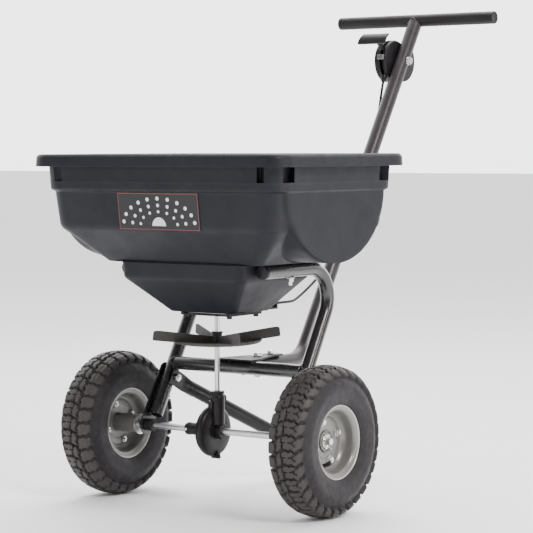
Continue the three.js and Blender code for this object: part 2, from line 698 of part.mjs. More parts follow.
const CASE_R = 47;
const CASE_LEFT_X = -26;
const CASE_RIGHT_X = 1;
const AXLE_BOSS_END_X = -69;
const BOSS_R = 12.4;
const SEAM_X = -4;
const caseOuter = join(
  latheX(
    [
      [0, CASE_LEFT_X],
      [28, CASE_LEFT_X],
      [CASE_R - 5, CASE_LEFT_X + 6],
      [CASE_R - 0.5, CASE_LEFT_X + 13],
      [CASE_R, -10],
      [CASE_R, -5],
      [CASE_R - 2, CASE_RIGHT_X - 3],
      [CASE_R - 6, CASE_RIGHT_X],
      [0, CASE_RIGHT_X],
    ],
    0,
    AXLE_Z,
    28,
  ),
  rodZ(BOSS_R, 0, 0, 146, 197, 16),
  rodZ(BOSS_R - 0.6, 0, 0, 197, 207, 16),
  rodX(11.6, 0, AXLE_Z, AXLE_BOSS_END_X, CASE_LEFT_X + 2, 16),
  rodX(14, 0, AXLE_Z, CASE_RIGHT_X - 2, 14, 16),
  rodX(6.5, 15, 193, -13, 5, 10),
  rodX(5.5, 0, 86, -13, 5, 10),
);
const caseHollow = join(
  latheX(
    [
      [0, CASE_LEFT_X + 3],
      [24, CASE_LEFT_X + 3],
      [CASE_R - 8, -18],
      [CASE_R - 3.4, -14.8],
      [CASE_R - 3.4, -5.8],
      [0, -5.8],
    ],
    0,
    AXLE_Z,
    28,
  ),
  rodZ(PINION_TIP_R + 0.8, 0, 0, PINION_Z - 2, PINION_Z + 15, 16),
  shaftBore,
  rodX(AXLE_BORE_R, 0, AXLE_Z, -80, 80, 16),
);
const gearCase = cut(caseOuter, caseHollow);
const half = (x0, x1) => toGeometry(largestPart(toSolid(common(gearCase, box(x0, x1, -90, 90, 60, 230)))));
add("gearbox_left_half", half(-80, SEAM_X - GAP / 2), "black_plastic");
add("gearbox_right_half", half(SEAM_X + GAP / 2, 60), "black_plastic");

// ---------------------------------------------------------------- axle and wheels
const COTTER_X = 244.5;
const COTTER_R = 1.4;
const cotterHole = (x) => rod(COTTER_R + GAP, at(x, 0, AXLE_Z - 20), at(x, 0, AXLE_Z + 20), 10);
const axle = cut(
  rodX(AXLE_R, 0, AXLE_Z, -AXLE_END_X, AXLE_END_X, 16),
  cotterHole(COTTER_X),
  cotterHole(-COTTER_X),
);
add("axle", axle, "zinc");

const washer = cut(
  rodX(13, 0, AXLE_Z, HUB_OUTER_X + GAP, HUB_OUTER_X + 2.3, 16),
  rodX(AXLE_BORE_R, 0, AXLE_Z, HUB_OUTER_X - 5, HUB_OUTER_X + 5, 16),
);
addPair("wheel_washer", washer, "zinc");
const cotter = join(
  rodZ(COTTER_R, COTTER_X, 0, AXLE_Z - 12, AXLE_Z + 11, 8),
  rod(COTTER_R, at(COTTER_X, 0, AXLE_Z + 10), at(COTTER_X, 9, AXLE_Z + 7), 8),
  rod(COTTER_R, at(COTTER_X, 9, AXLE_Z + 7), at(COTTER_X, 8.5, AXLE_Z - 10), 8),
);
addPair("cotter_pin", cotter, "zinc");

// The wheel is drawn about its own centre plane, +X outwards, and then put on its side.
const RIM_R = 65;
const RIM_T = 2;
const rimFlange = 30;
const rimHalfProfile = [
  [HUB_R + GAP, 1.2],
  [46, 1.2],
  [53, 10],
  [54, 24],
  [59, 28],
  [RIM_R, rimFlange],
  [RIM_R, rimFlange - RIM_T],
  [60, 26],
  [56, 22.5],
  [55.6, 0.2],
  [HUB_R + GAP, 0.2],
  [HUB_R + GAP, 1.2],
];
const TREAD_R = WHEEL_R;
const tyreOutside = [
  [57, 18],
  [58.5, 22.5],
  [65.6, 26.6],
  [66.2, 31.5],
  [76, 37],
  [100, TYRE_HALF_WIDTH],
  [121, 35],
  [130, 26],
  [TREAD_R, 10],
];
const tyreInside = [
  [124, 8],
  [117, 26],
  [100, 34],
  [72, 30],
];
const otherSide = (points) => points.map(([r, x]) => [r, -x]).reverse();
const tyreProfile = [
  ...tyreOutside,
  ...otherSide(tyreOutside),
  ...otherSide(tyreInside),
  ...tyreInside,
  tyreOutside[0],
];
const VALVE_FROM = at(8, 0, 57);
const VALVE_TO = at(32, 0, 42);
const VALVE_TURN = 140;
const CLAMP_R = 36;
const clampHoles = [19, 109, 199, 289].map((turn) =>
  rodX(3.6, 0, CLAMP_R, -10, 10, 6).rotateX(radians(turn)),
);
const onWheel = (geometry) => geometry.translate(WHEEL_X, 0, AXLE_Z);
const latheWheel = (profile, sides) => latheX(profile, 0, 0, sides);
const outward = (geometry) => (toSolid(geometry).volume() < 0 ? reversed(geometry) : geometry);
const tyre = outward(latheWheel(tyreProfile, 36));
addPair("tyre", onWheel(tyre), "rubber");

const rimOuter = outward(latheWheel(rimHalfProfile, 28));
const valve = rod(4.2, VALVE_FROM, VALVE_TO, 12, 3.2).rotateX(radians(VALVE_TURN));
const valveHole = rod(4.9, VALVE_FROM, VALVE_TO, 10).rotateX(radians(VALVE_TURN));
addPair("rim_outer_half", onWheel(cut(rimOuter, valveHole, ...clampHoles)), "rim_paint");
addPair("rim_inner_half", onWheel(cut(mirrored(rimOuter), ...clampHoles)), "rim_paint");
addPair("valve_stem", onWheel(valve), "black_plastic");

// The right hub is pinned to the axle. The left one turns on two flanged bearings.
const hubBody = rodX(HUB_R, 0, AXLE_Z, HUB_INNER_X, HUB_OUTER_X, 24);
const rightHub = cut(hubBody, rodX(AXLE_BORE_R, 0, AXLE_Z, 100, 300, 16));
add("right_hub", rightHub, "zinc");
const BEARING_R = 11.5;
const BEARING_L = 12;
add("left_hub", mirrored(cut(hubBody, rodX(BEARING_R + GAP, 0, AXLE_Z, 100, 300, 16))), "zinc");
const bearing = (x0, x1, flange0, flange1, flangeR) =>
  mirrored(
    cut(
      join(rodX(BEARING_R, 0, AXLE_Z, x0, x1, 16), rodX(flangeR, 0, AXLE_Z, flange0, flange1, 16)),
      rodX(AXLE_BORE_R, 0, AXLE_Z, 100, 300, 16),
    ),
  );
const innerFlange = HUB_INNER_X - GAP;
add(
  "left_inner_bearing",
  bearing(innerFlange - 3, HUB_INNER_X + BEARING_L, innerFlange - 4, innerFlange, 19),
  "zinc",
);
add(
  "left_outer_bearing",
  bearing(HUB_OUTER_X - BEARING_L, HUB_OUTER_X, HUB_OUTER_X - BEARING_L, HUB_OUTER_X, BEARING_R),
  "zinc",
);

// ---------------------------------------------------------------- flow control on the pole
const DRUM_OUT_X = -37.5;
const DRUM_IN_X = -POLE_R - GAP;
const DRUM_WALL = 2.5;
const DRUM_BACK_X = 4; // the part of the drum that reaches round the back of the pole
const drumSlot = new THREE.Shape();
const SLOT_FROM = radians(84);
const SLOT_TO = radians(222);
drumSlot.moveTo(0, 0).lineTo(60 * Math.cos(SLOT_FROM), 60 * Math.sin(SLOT_FROM));
drumSlot.absarc(0, 0, 60, SLOT_FROM, SLOT_TO).lineTo(0, 0);
const SLOT_HALF = 4;
const onDrum = (geometry) => geometry.translate(0, controlY, CONTROL_Z);
const pivotHole = rodX(BOLT_R + GAP, 0, 0, -80, 40, 10);
const CABLE_R = 2.6;
const cableExit = at(-25, -29, -30);
const glandWay = at(0, -0.3, -1).normalize();
const poleDown = at(0, -1, -poleSlope).normalize();
const cableGland = rod(5, cableExit, cableExit.clone().addScaledVector(glandWay, 12), 10);
const poleLean = Math.PI / 2 - Math.atan(poleSlope);
const behindPole = cut(
  rodX(DRUM_R, 0, 0, DRUM_IN_X - 1, DRUM_BACK_X, 24),
  rod(POLE_R + GAP, at(0, 0, 0).addScaledVector(poleDown, 60), at(0, 0, 0).addScaledVector(poleDown, -60)),
  box(DRUM_IN_X, 20, -60, 0, -60, 60).rotateX(-poleLean),
);
const housing = cut(
  join(rodX(DRUM_R, 0, 0, DRUM_OUT_X, DRUM_IN_X, 24), cableGland, behindPole),
  rodX(DRUM_R - DRUM_WALL, 0, 0, DRUM_OUT_X - 5, DRUM_IN_X - DRUM_WALL, 24),
  cut(
    plateX(drumSlot, LEVER_X - SLOT_HALF, LEVER_X + SLOT_HALF, 10),
    rodX(DRUM_R - 8, 0, 0, -60, 10, 16),
  ),
  pivotHole,
);
add("control_housing", onDrum(toGeometry(largestPart(toSolid(housing)))), "black_plastic");
const cover = cut(
  join(
    rodX(DRUM_R, 0, 0, DRUM_OUT_X - GAP - 2.4, DRUM_OUT_X - GAP, 24),
    rod(DRUM_R - 4, at(DRUM_OUT_X - 2.6, 0, 0), at(DRUM_OUT_X - 6, 0, 0), 32, DRUM_R - 12),
  ),
  pivotHole,
);
add("control_cover", onDrum(cover), "black_plastic");
const controlBolt = join(
  hexX(13, 0, 0, POLE_R + GAP, POLE_R + 6.5),
  rodX(BOLT_R, 0, 0, DRUM_OUT_X - 9, POLE_R + 1, 10),
);
add("control_bolt", onDrum(controlBolt), "zinc");

// Lever: a hub on the bolt, a flat arm through the slot, and a wide finger paddle at its end.
const LEVER_T = 2.5;
const armLength = 72;
const paddleShape = new THREE.Shape();
paddleShape.moveTo(armLength - 2, -11).quadraticCurveTo(armLength + 3, 0, armLength - 2, 13);
paddleShape.lineTo(armLength + 3, 13).quadraticCurveTo(armLength + 9, 0, armLength + 3, -11);
const lever = cut(
  join(
    rodX(13, 0, 0, LEVER_X - LEVER_T - 4, LEVER_X + LEVER_T + 4, 16),
    box(LEVER_X - LEVER_T, LEVER_X + LEVER_T, 8, armLength + 2, -4.5, 4.5),
    plateX(paddleShape, -63, 3, 6),
  ),
  pivotHole,
).rotateX(radians(LEVER_ANGLE));
add("control_lever", onDrum(lever), "black_plastic");

// Rate stop: a thumb block outside the drum, held through the slot by a foot inside it.
const stop = join(
  box(LEVER_X - 7, LEVER_X + 7, DRUM_R + 0.8, DRUM_R + 6, -5, 5),
  box(LEVER_X - SLOT_HALF + 0.6, LEVER_X + SLOT_HALF - 0.6, DRUM_R - 5, DRUM_R + 2, -3.5, 3.5),
  box(LEVER_X - 6, LEVER_X + 6, DRUM_R - 7, DRUM_R - 4, -4, 4),
).rotateX(radians(STOP_ANGLE));
add("rate_stop", onDrum(stop), "grey_plastic");

// ---------------------------------------------------------------- control cable
// From the gland down behind the pole, then round its left side and forward to the upstand.
const glandEnd = cableExit
  .clone()
  .addScaledVector(glandWay, 12 + GAP)
  .add(at(0, controlY, CONTROL_Z));
// A point beside the pole at a height: so far to the side and so far behind the pole's axis.
const besidePole = (x, behind, z) =>
  at(x, poleY(z) + behind * Math.cos(poleLean), z - behind * Math.sin(poleLean));
const cablePoints = [
  glandEnd,
  glandEnd.clone().addScaledVector(glandWay, 14),
  besidePole(-23.5, 5, 742),
  besidePole(-19, 8, 716),
  besidePole(-13.5, 13, 690),
  besidePole(-11.4, 14.3, 660),
  besidePole(-11.4, 14.3, 560),
  besidePole(-11.4, 14.3, 480),
  besidePole(-16, 8, 430),
  besidePole(-17.5, -14, 382),
  at(-9, 262, 359),
  at(-2, 236, WIRE_Z + 0.3),
  at(0, 206, WIRE_Z),
  at(0, SHEATH_STOP_Y + 4 + GAP, WIRE_Z),
];
const cableCurve = new THREE.CatmullRomCurve3(cablePoints, false, "centripetal");
const cable = new THREE.ExtrudeGeometry(new THREE.Shape().absarc(0, 0, CABLE_R, 0, 2 * Math.PI), {
  steps: 56,
  extrudePath: cableCurve,
  curveSegments: 4,
});
add("control_cable", cable, "black_plastic");

// ---------------------------------------------------------------- placing the machine
const frontY = HOPPER_Y - RIM_HALF_Y;
const rearY = BAR_Y + TUBE_R;
const spreader = new THREE.Group();
spreader.name = "garden_spreader";
frame.position.y = -(frontY + rearY) / 2;
spreader.add(frame);

export default spreader;
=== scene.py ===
import json
import math

import bmesh
import bpy
import numpy as np
from mathutils import Matrix, Vector


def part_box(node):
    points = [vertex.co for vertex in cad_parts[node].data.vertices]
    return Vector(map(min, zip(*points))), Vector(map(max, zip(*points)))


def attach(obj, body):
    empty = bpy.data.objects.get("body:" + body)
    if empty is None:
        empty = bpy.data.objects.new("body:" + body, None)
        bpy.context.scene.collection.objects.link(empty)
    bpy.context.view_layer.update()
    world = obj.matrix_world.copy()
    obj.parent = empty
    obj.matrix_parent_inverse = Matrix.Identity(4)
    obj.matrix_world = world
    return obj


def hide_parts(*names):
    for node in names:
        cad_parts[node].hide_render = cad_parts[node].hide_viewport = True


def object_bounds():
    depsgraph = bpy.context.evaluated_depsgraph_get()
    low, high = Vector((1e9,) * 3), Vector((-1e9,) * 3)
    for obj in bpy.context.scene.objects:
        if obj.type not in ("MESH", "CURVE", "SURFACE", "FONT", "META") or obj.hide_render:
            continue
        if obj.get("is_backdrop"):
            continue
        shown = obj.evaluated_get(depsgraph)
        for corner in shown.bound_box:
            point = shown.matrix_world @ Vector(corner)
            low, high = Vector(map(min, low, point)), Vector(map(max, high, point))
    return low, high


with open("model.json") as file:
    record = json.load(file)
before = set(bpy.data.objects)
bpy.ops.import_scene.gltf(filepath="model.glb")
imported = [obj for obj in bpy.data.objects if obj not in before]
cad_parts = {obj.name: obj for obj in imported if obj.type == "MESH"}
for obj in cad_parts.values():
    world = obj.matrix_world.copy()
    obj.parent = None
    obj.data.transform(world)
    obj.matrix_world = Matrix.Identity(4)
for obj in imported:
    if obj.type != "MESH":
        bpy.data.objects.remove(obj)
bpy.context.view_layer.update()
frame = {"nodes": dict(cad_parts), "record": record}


# ---------------------------------------------------------------- sizes read from the CAD part
def row_mm(node):
    low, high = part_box(node)
    return np.array(low) * 1000, np.array(high) * 1000


AXLE_ROW_Y = sum(row_mm("axle"))[1] / 2
SHIFT = np.array([0, AXLE_ROW_Y, 0])


def ends(node):
    """Lowest and highest corner of a CAD node, in this file's millimetres."""
    low, high = row_mm(node)
    return low - SHIFT, high - SHIFT


def middle(node):
    return sum(ends(node)) / 2


def span(node):
    low, high = ends(node)
    return high - low


GAP = 0.3  # between pieces that move or are fitted over each other
SHANK_R = 3.9  # of the bolts through the tubes
AXLE_Z = middle("axle")[2]
AXLE_R = span("axle")[2] / 2
AXLE_END_X = ends("axle")[1][0]
WHEEL_X = middle("right_tyre")[0]
WHEEL_R = span("right_tyre")[2] / 2
TYRE_HALF = span("right_tyre")[0] / 2
HUB_R = span("right_hub")[2] / 2
HUB_IN, HUB_OUT = ends("right_hub")[0][0], ends("right_hub")[1][0]
SIDE_X = middle("right_side_tube")[0]
TUBE_R = span("right_side_tube")[0] / 2
SIDE_Z = ends("right_side_tube")[1][2] - TUBE_R
SIDE_FRONT_Y = ends("right_side_tube")[0][1]
CROSS_Y, CROSS_Z = middle("cross_tube")[1:]
PLATE_Z0, PLATE_Z1 = ends("handle_plate")[0][2], ends("handle_plate")[1][2]
POLE_R = span("handle_tube")[0] / 2
POLE_Z = ends("handle_tube")[0][2] + POLE_R
BAR_Y, BAR_Z = middle("handle_bar")[1:]
BAR_HALF = ends("right_bar_cap")[1][0]
BOLT_Y, BOLT_Z = middle("right_stand_nut")[1:]
STAND_END_X = ends("right_stand_nut")[1][0] + 2.8
STAND_LOW = ends("stand")[0][2]
HOP_LO, HOP_HI = ends("hopper")
HOPPER_Y = middle("hopper")[1]
FLOOR_Z, RIM_TOP = HOP_LO[2], HOP_HI[2]
RIM_X, RIM_Y = (HOP_HI - HOP_LO)[0] / 2, (HOP_HI - HOP_LO)[1] / 2
IMPELLER_Z = ends("impeller")[0][2]
SHAFT_R = span("drive_shaft")[0] / 2
CTRL_Y, CTRL_Z = middle("control_cover")[1:]
DRUM_R = span("control_cover")[2] / 2
LEG_SLOPE = BOLT_Y / (BOLT_Z - AXLE_Z)
POLE_CORNER_Y = 262
POLE_SLOPE = (BAR_Z - POLE_Z) / (BAR_Y - POLE_CORNER_Y)
WALL = 3.3
TUBE_WALL = 1.5


# ---------------------------------------------------------------- materials
class Tree:
    """A node tree, with short ways to add the nodes that the finishes are made of."""

    def __init__(self, owner):
        self.nodes, self.links = owner.node_tree.nodes, owner.node_tree.links

    def give(self, socket, value):
        """Links the socket when the value is another node's output, and sets it otherwise."""
        if isinstance(value, bpy.types.NodeSocket):
            self.links.new(value, socket)
        else:
            socket.default_value = (*value, 1) if socket.type == "RGBA" else value

    def add(self, kind, inputs, **settings):
        """Adds a node and returns its outputs."""
        node = self.nodes.new("ShaderNode" + kind)
        for name, value in settings.items():
            setattr(node, name, value)
        for name, value in inputs.items():
            self.give(node.inputs[name], value)
        return node.outputs

    def noise(self, coords, scale, detail=4, stretch=(1, 1, 1)):
        place = self.add("Mapping", {"Scale": stretch, "Vector": coords})["Vector"]
        return self.add("TexNoise", {"Scale": scale, "Detail": detail, "Vector": place})["Fac"]

    def remap(self, value, low, high, start=0.3, stop=0.7):
        span = {"From Min": start, "From Max": stop, "To Min": low, "To Max": high}
        return self.add("MapRange", {"Value": value, **span})["Result"]

    def mixed(self, factor, first, second):
        return self.add("Mix", {"Factor": factor, "A": first, "B": second}, data_type="RGBA")["Result"]


SLOT_OF = {}
UNEVEN_LOW, UNEVEN_HIGH = 0.85, 1.18  # how far a finish's roughness strays, as shares of it


def finish_of(name, slot, first, second, rough, *, metal=0.0, blotch=9, grain=500, relief=0.00001,
              stretch=(1, 1, 1), dust=(0, 0, 0), dust_share=0.0, coat=0.0, specular=0.5):
    """A finish with soft blotches between two colours, a fine grain in relief, uneven gloss and dust."""
    mat = bpy.data.materials.new(name)
    mat.use_nodes = True
    tree = Tree(mat)
    coords = tree.add("TexCoord", {})["Object"]
    colour = tree.mixed(tree.remap(tree.noise(coords, blotch, 5), 0, 1), first, second)
    if dust_share:
        specks = tree.noise(coords, blotch * 7, 6)
        colour = tree.mixed(tree.remap(specks, 0, dust_share, 0.45, 0.75), colour, dust)
    uneven = tree.noise(coords, blotch * 4, 4, stretch)
    fine = tree.noise(coords, grain, 3, stretch)
    look = {
        "Base Color": colour,
        "Roughness": tree.remap(uneven, rough * UNEVEN_LOW, min(1.0, rough * UNEVEN_HIGH)),
        "Normal": tree.add("Bump", {"Strength": 0.5, "Distance": relief, "Height": fine})["Normal"],
        "Metallic": metal,
        "Specular IOR Level": specular,
        "Coat Weight": coat,
        "Coat Roughness": 0.12,
    }
    for socket, value in look.items():
        tree.give(tree.nodes["Principled BSDF"].inputs[socket], value)
    SLOT_OF[mat] = slot
    return mat


BLACK_PAINT = finish_of("gloss_black", "black_paint", (0.016, 0.0145, 0.016), (0.023, 0.021, 0.0225), 0.25,
    grain=420, coat=0.45)
SATIN_PAINT = finish_of("satin_black", "satin_paint", (0.032, 0.0275, 0.031), (0.042, 0.036, 0.04), 0.33,
    relief=0.000008, coat=0.05, specular=0.4)
PLATE_PAINT = finish_of("satin_plate", "black_paint", (0.013, 0.012, 0.013), (0.02, 0.018, 0.0195), 0.5,
    relief=0.00002, specular=0.2)
# A darker copy of the frame's gloss black, for the stand alone: its darker colour is painted shade.
STAND_SHADED_PAINT = finish_of("stand_black_painted_shade", "black_paint", (0.009, 0.008, 0.0095), (0.014, 0.0125, 0.0145), 0.36,
    specular=0.3)
HOPPER = finish_of("hopper_polyethylene", "hopper_plastic", (0.0078, 0.0082, 0.0125),
    (0.0105, 0.0108, 0.0158), 0.48, blotch=5, grain=1400, relief=0.00012, dust=(0.055, 0.055, 0.06),
    dust_share=0.07, specular=0.21)
BLACK_PLASTIC = finish_of("moulded_black", "black_plastic", (0.0095, 0.0088, 0.01), (0.0145, 0.0132, 0.015),
    0.45, grain=1500, relief=0.00008, dust=(0.05, 0.05, 0.05), dust_share=0.06, specular=0.26)
IMPELLER_PLASTIC = finish_of("impeller_nylon", "black_plastic", (0.052, 0.05, 0.048), (0.066, 0.063, 0.06),
    0.5, grain=1100, relief=0.00005, dust=(0.06, 0.056, 0.047), dust_share=0.1, specular=0.15)
CASE_PLASTIC = finish_of("gearbox_nylon", "black_plastic", (0.0065, 0.0058, 0.0062),
    (0.0105, 0.0095, 0.0095), 0.36, grain=1100, relief=0.00005, dust=(0.04, 0.038, 0.037), dust_share=0.08,
    specular=0.24)
GREY_PLASTIC = finish_of("moulded_grey", "grey_plastic", (0.15, 0.15, 0.165), (0.19, 0.19, 0.2), 0.45,
    grain=1300, relief=0.00008)
ZINC = finish_of("bright_zinc", "zinc", (0.62, 0.63, 0.65), (0.78, 0.79, 0.8), 0.32, metal=1.0, blotch=30,
    grain=260, relief=0.00003, stretch=(0.15, 1, 1))
ZINC_BOLT = finish_of("zinc_bolts", "zinc", (0.55, 0.56, 0.57), (0.8, 0.79, 0.74), 0.27, metal=1.0,
    blotch=90, grain=700, relief=0.00004)
RIM_PAINT = finish_of("rim_powder_coat", "rim_paint", (0.155, 0.15, 0.142), (0.185, 0.18, 0.17), 0.33,
    metal=0.15, blotch=14, relief=0.00003, dust=(0.12, 0.115, 0.105), dust_share=0.15, coat=0.25)
RUBBER = finish_of("tyre_rubber", "rubber", (0.0135, 0.0118, 0.015), (0.0205, 0.018, 0.0215), 0.55,
    blotch=16, grain=700, relief=0.00015, dust=(0.085, 0.076, 0.064), dust_share=0.16, specular=0.24)
LABEL_BLACK = finish_of("label_film", "hopper_plastic", (0.008, 0.008, 0.01), (0.011, 0.011, 0.013), 0.34,
    grain=1600, relief=0.00002, specular=0.35)
LABEL_RED = finish_of("label_border_ink", "hopper_plastic", (0.16, 0.025, 0.02), (0.2, 0.03, 0.025), 0.35,
    grain=1600, relief=0.00002)
LABEL_WHITE = finish_of("label_motif_ink", "hopper_plastic", (0.72, 0.72, 0.73), (0.8, 0.8, 0.8), 0.35,
    grain=1600, relief=0.00002)
SLOT_FINISH = {slot: mat for mat, slot in reversed(SLOT_OF.items())}


def recolour_outside(mat, inner, outer, colour):
    """Blends to another colour beyond a distance from the wheels' axis, in metres."""
    tree = Tree(mat)
    socket = tree.nodes["Principled BSDF"].inputs["Base Color"]
    base = socket.links[0].from_socket
    axis = {"Location": (0, -AXLE_ROW_Y / 1000, -AXLE_Z / 1000), "Scale": (0, 1, 1)}
    spoke = tree.add("Mapping", {"Vector": tree.add("TexCoord", {})["Object"], **axis})["Vector"]
    radius = tree.add("VectorMath", {0: spoke}, operation="LENGTH")["Value"]
    tree.give(socket, tree.mixed(tree.remap(radius, 0, 1, inner, outer), base, colour))


recolour_outside(RUBBER, 0.117, 0.124, (0.049, 0.0445, 0.043))
# The rim's outer lip, beyond about 64 mm from the axis, is made much lighter: a painted highlight along the
# lip.
recolour_outside(RIM_PAINT, 0.0628, 0.0640, (0.42, 0.41, 0.39))


# ---------------------------------------------------------------- geometry helpers
def unit(v):
    v = np.asarray(v, float)
    return v / np.linalg.norm(v)


class Shape:
    """Loose points and faces that become one mesh."""

    def __init__(self):
        self.points, self.faces, self.count = [], [], 0

    def add(self, points, faces):
        self.points.append(np.asarray(points, float))
        self.faces += [tuple(self.count + i for i in face) for face in faces]
        self.count += len(points)
        return self

    def rings(self, rings, closed=False, caps=True):
        """Joins equal rings of points in order, closing the ends with flat caps or back onto the first."""
        rings = [np.asarray(r, float) for r in rings]
        size, levels = len(rings[0]), len(rings)
        faces = []
        for k in range(levels if closed else levels - 1):
            a, b = k * size, ((k + 1) % levels) * size
            faces += [(a + i, a + (i + 1) % size, b + (i + 1) % size, b + i) for i in range(size)]
        if caps and not closed:
            faces.append(tuple(range(size)))
            faces.append(tuple((levels - 1) * size + i for i in range(size)))
        return self.add(np.concatenate(rings), faces)

    def join(self, other):
        return self.add(np.concatenate(other.points), other.faces)

    def moved(self, offset):
        return Shape().add(np.concatenate(self.points) + offset, self.faces)

    def mirrored(self):
        return Shape().add(np.concatenate(self.points) * (-1, 1, 1), self.faces)


def soften(points, reach, steps=3, closed=False):
    """Replaces each corner of a polyline, in any number of dimensions, by a short curve."""
    points = [np.asarray(p, float) for p in points]
    n = len(points)
    made = []
    for i, p in enumerate(points):
        if not closed and i in (0, n - 1):
            made.append(p)
            continue
        before, after = points[i - 1], points[(i + 1) % n]
        size = reach[i] if isinstance(reach, (list, tuple)) else reach
        a, b = np.linalg.norm(before - p), np.linalg.norm(after - p)
        size = min(size, 0.45 * a, 0.45 * b)
        start, stop = p + (before - p) * size / a, p + (after - p) * size / b
        for k in range(steps + 1):
            t = k / steps
            made.append((1 - t) ** 2 * start + 2 * t * (1 - t) * p + t * t * stop)
    return made


def circle(centre, across, up, radius, sides):
    angles = np.arange(sides) * 2 * math.pi / sides
    return np.asarray(centre) + radius * (np.outer(np.cos(angles), across) + np.outer(np.sin(angles), up))


def axes_of(direction):
    d = unit(direction)
    helper = np.array([1.0, 0, 0]) if abs(d[0]) < 0.9 else np.array([0, 0, 1.0])
    across = unit(np.cross(helper, d))
    return across, np.cross(d, across)


def turned(profile, start, direction, sides=48, closed=False):
    """A solid of revolution. The profile is [radius, distance along direction], from axis to axis."""
    across, up = axes_of(direction)
    d = unit(direction)
    rings = [circle(np.asarray(start) + d * along, across, up, max(r, 0.02), sides) for r, along in profile]
    return Shape().rings(rings, closed)


def ring_of(profile, start, direction, sides=48):
    """As turned(), for a closed profile that stays clear of the axis."""
    return turned(profile, start, direction, sides, closed=True)


def rod(start, stop, radius, edge=0.6, sides=40):
    way = np.asarray(stop, float) - start
    length = np.linalg.norm(way)
    return turned(soften([(0, 0), (radius, 0), (radius, length), (0, length)], edge), start, way, sides)


def collar(start, stop, inner, outer, edge=0.5, sides=48):
    way = np.asarray(stop, float) - start
    length = np.linalg.norm(way)
    corners = [(inner, 0), (outer, 0), (outer, length), (inner, length)]
    return ring_of(soften(corners, edge, closed=True), start, way, sides)


def run_of(corners, radii, steps=14):
    """Points and directions along straight runs joined by round bends."""
    corners = [np.asarray(c, float) for c in corners]
    line = [(corners[0], unit(corners[1] - corners[0]))]
    for i in range(1, len(corners) - 1):
        before, after = unit(corners[i] - corners[i - 1]), unit(corners[i + 1] - corners[i])
        turn = math.acos(np.clip(before @ after, -1, 1))
        if turn < 1e-3 or not radii[i - 1]:
            line.append((corners[i], unit(before + after)))
            continue
        axis = unit(np.cross(before, after))
        start = corners[i] - before * radii[i - 1] * math.tan(turn / 2)
        inward = np.cross(axis, before)
        centre = start + inward * radii[i - 1]
        for k in range(steps + 1):
            a = turn * k / steps
            spoke = -inward * math.cos(a) + before * math.sin(a)
            line.append((centre + spoke * radii[i - 1], before * math.cos(a) + inward * math.sin(a)))
    line.append((corners[-1], unit(corners[-1] - corners[-2])))
    return line


def swept(line, radius, wall=None, sides=40):
    """A bar along a line, or with a wall a tube that is open at both ends."""
    frames = []
    across = axes_of(line[0][1])[0]
    for point, along in line:
        across = unit(across - along * (across @ along))
        frames.append((point, across, np.cross(along, across), along))
    last = len(frames) - 1

    def ring(i, r, by=0.0):
        point, side, up, along = frames[i]
        return circle(point, side, up, r, sides) + along * by

    if wall is None:
        return Shape().rings([ring(i, radius) for i in range(len(frames))])
    edge, inner = 0.4, radius - wall
    rings = [ring(0, radius - edge), ring(0, radius, edge)]
    rings += [ring(i, radius) for i in range(1, last)]
    rings += [ring(last, radius, -edge), ring(last, radius - edge)]
    rings += [ring(last, inner + edge), ring(last, inner, -edge)]
    rings += [ring(i, inner) for i in range(last - 1, 0, -1)]
    rings += [ring(0, inner, edge), ring(0, inner + edge)]
    return Shape().rings(rings, closed=True)


def prism(outline, normal, across, up, start, thickness):
    """A flat plate: the outline is in (across, up) about start, extruded along normal."""
    outline = np.asarray(outline, float)
    flat = np.asarray(start) + np.outer(outline[:, 0], across) + np.outer(outline[:, 1], up)
    return Shape().rings([flat, flat + np.asarray(normal, float) * thickness])


def plate_x(outline, x0, x1):
    return prism(outline, (1, 0, 0), (0, 1, 0), (0, 0, 1), (x0, 0, 0), x1 - x0)


def plate_z(outline, z0, z1):
    return prism(outline, (0, 0, 1), (1, 0, 0), (0, 1, 0), (0, 0, z0), z1 - z0)


def arc(cy, cz, r, start, stop, steps=16):
    turns = np.radians(np.linspace(start, stop, steps + 1))
    return [(cy + r * math.cos(a), cz + r * math.sin(a)) for a in turns]


def block(low, high):
    (x0, y0, z0), (x1, y1, z1) = low, high
    return plate_z([(x0, y0), (x1, y0), (x1, y1), (x0, y1)], z0, z1)


def hex_head(start, direction, across_flats, height, dome=True):
    """A bolt head or nut body with the flats' corners chamfered off towards the top."""
    across, up = axes_of(direction)
    d = unit(direction)
    angles = np.arange(72) * math.pi / 36
    fold = np.abs((angles + math.pi / 6) % (math.pi / 3) - math.pi / 6)
    flats = across_flats / 2 / np.cos(fold)
    land = across_flats / 2 * 0.95

    def ring(radii, along):
        along = np.broadcast_to(along, radii.shape)
        flat = np.outer(radii * np.cos(angles), across) + np.outer(radii * np.sin(angles), up)
        return np.asarray(start) + flat + np.outer(along, d)

    shoulder = height - (flats - land) * 0.55
    rings = [ring(flats - 0.5, 0), ring(flats, 0.5), ring(flats, shoulder)]
    rings.append(ring(np.full_like(flats, land), height))
    if dome:
        rings.append(ring(np.full_like(flats, land * 0.6), height - 0.35))
    return Shape().rings(rings)


def washer_under(start, direction, outer, thick=1.4, inner=4.3):
    stop = np.asarray(start) + unit(direction) * thick
    return collar(start, stop, inner, outer, edge=0.3)


# ---------------------------------------------------------------- pieces
def mesh_of(name, shape):
    mesh = bpy.data.meshes.new(name)
    mesh.from_pydata((np.concatenate(shape.points) / 1000).tolist(), [], shape.faces)
    work = bmesh.new()
    work.from_mesh(mesh)
    bmesh.ops.recalc_face_normals(work, faces=work.faces)
    work.to_mesh(mesh)
    work.free()
    return mesh


def object_of(data):
    obj = bpy.data.objects.new(data.name, data)
    bpy.context.scene.collection.objects.link(obj)
    return obj


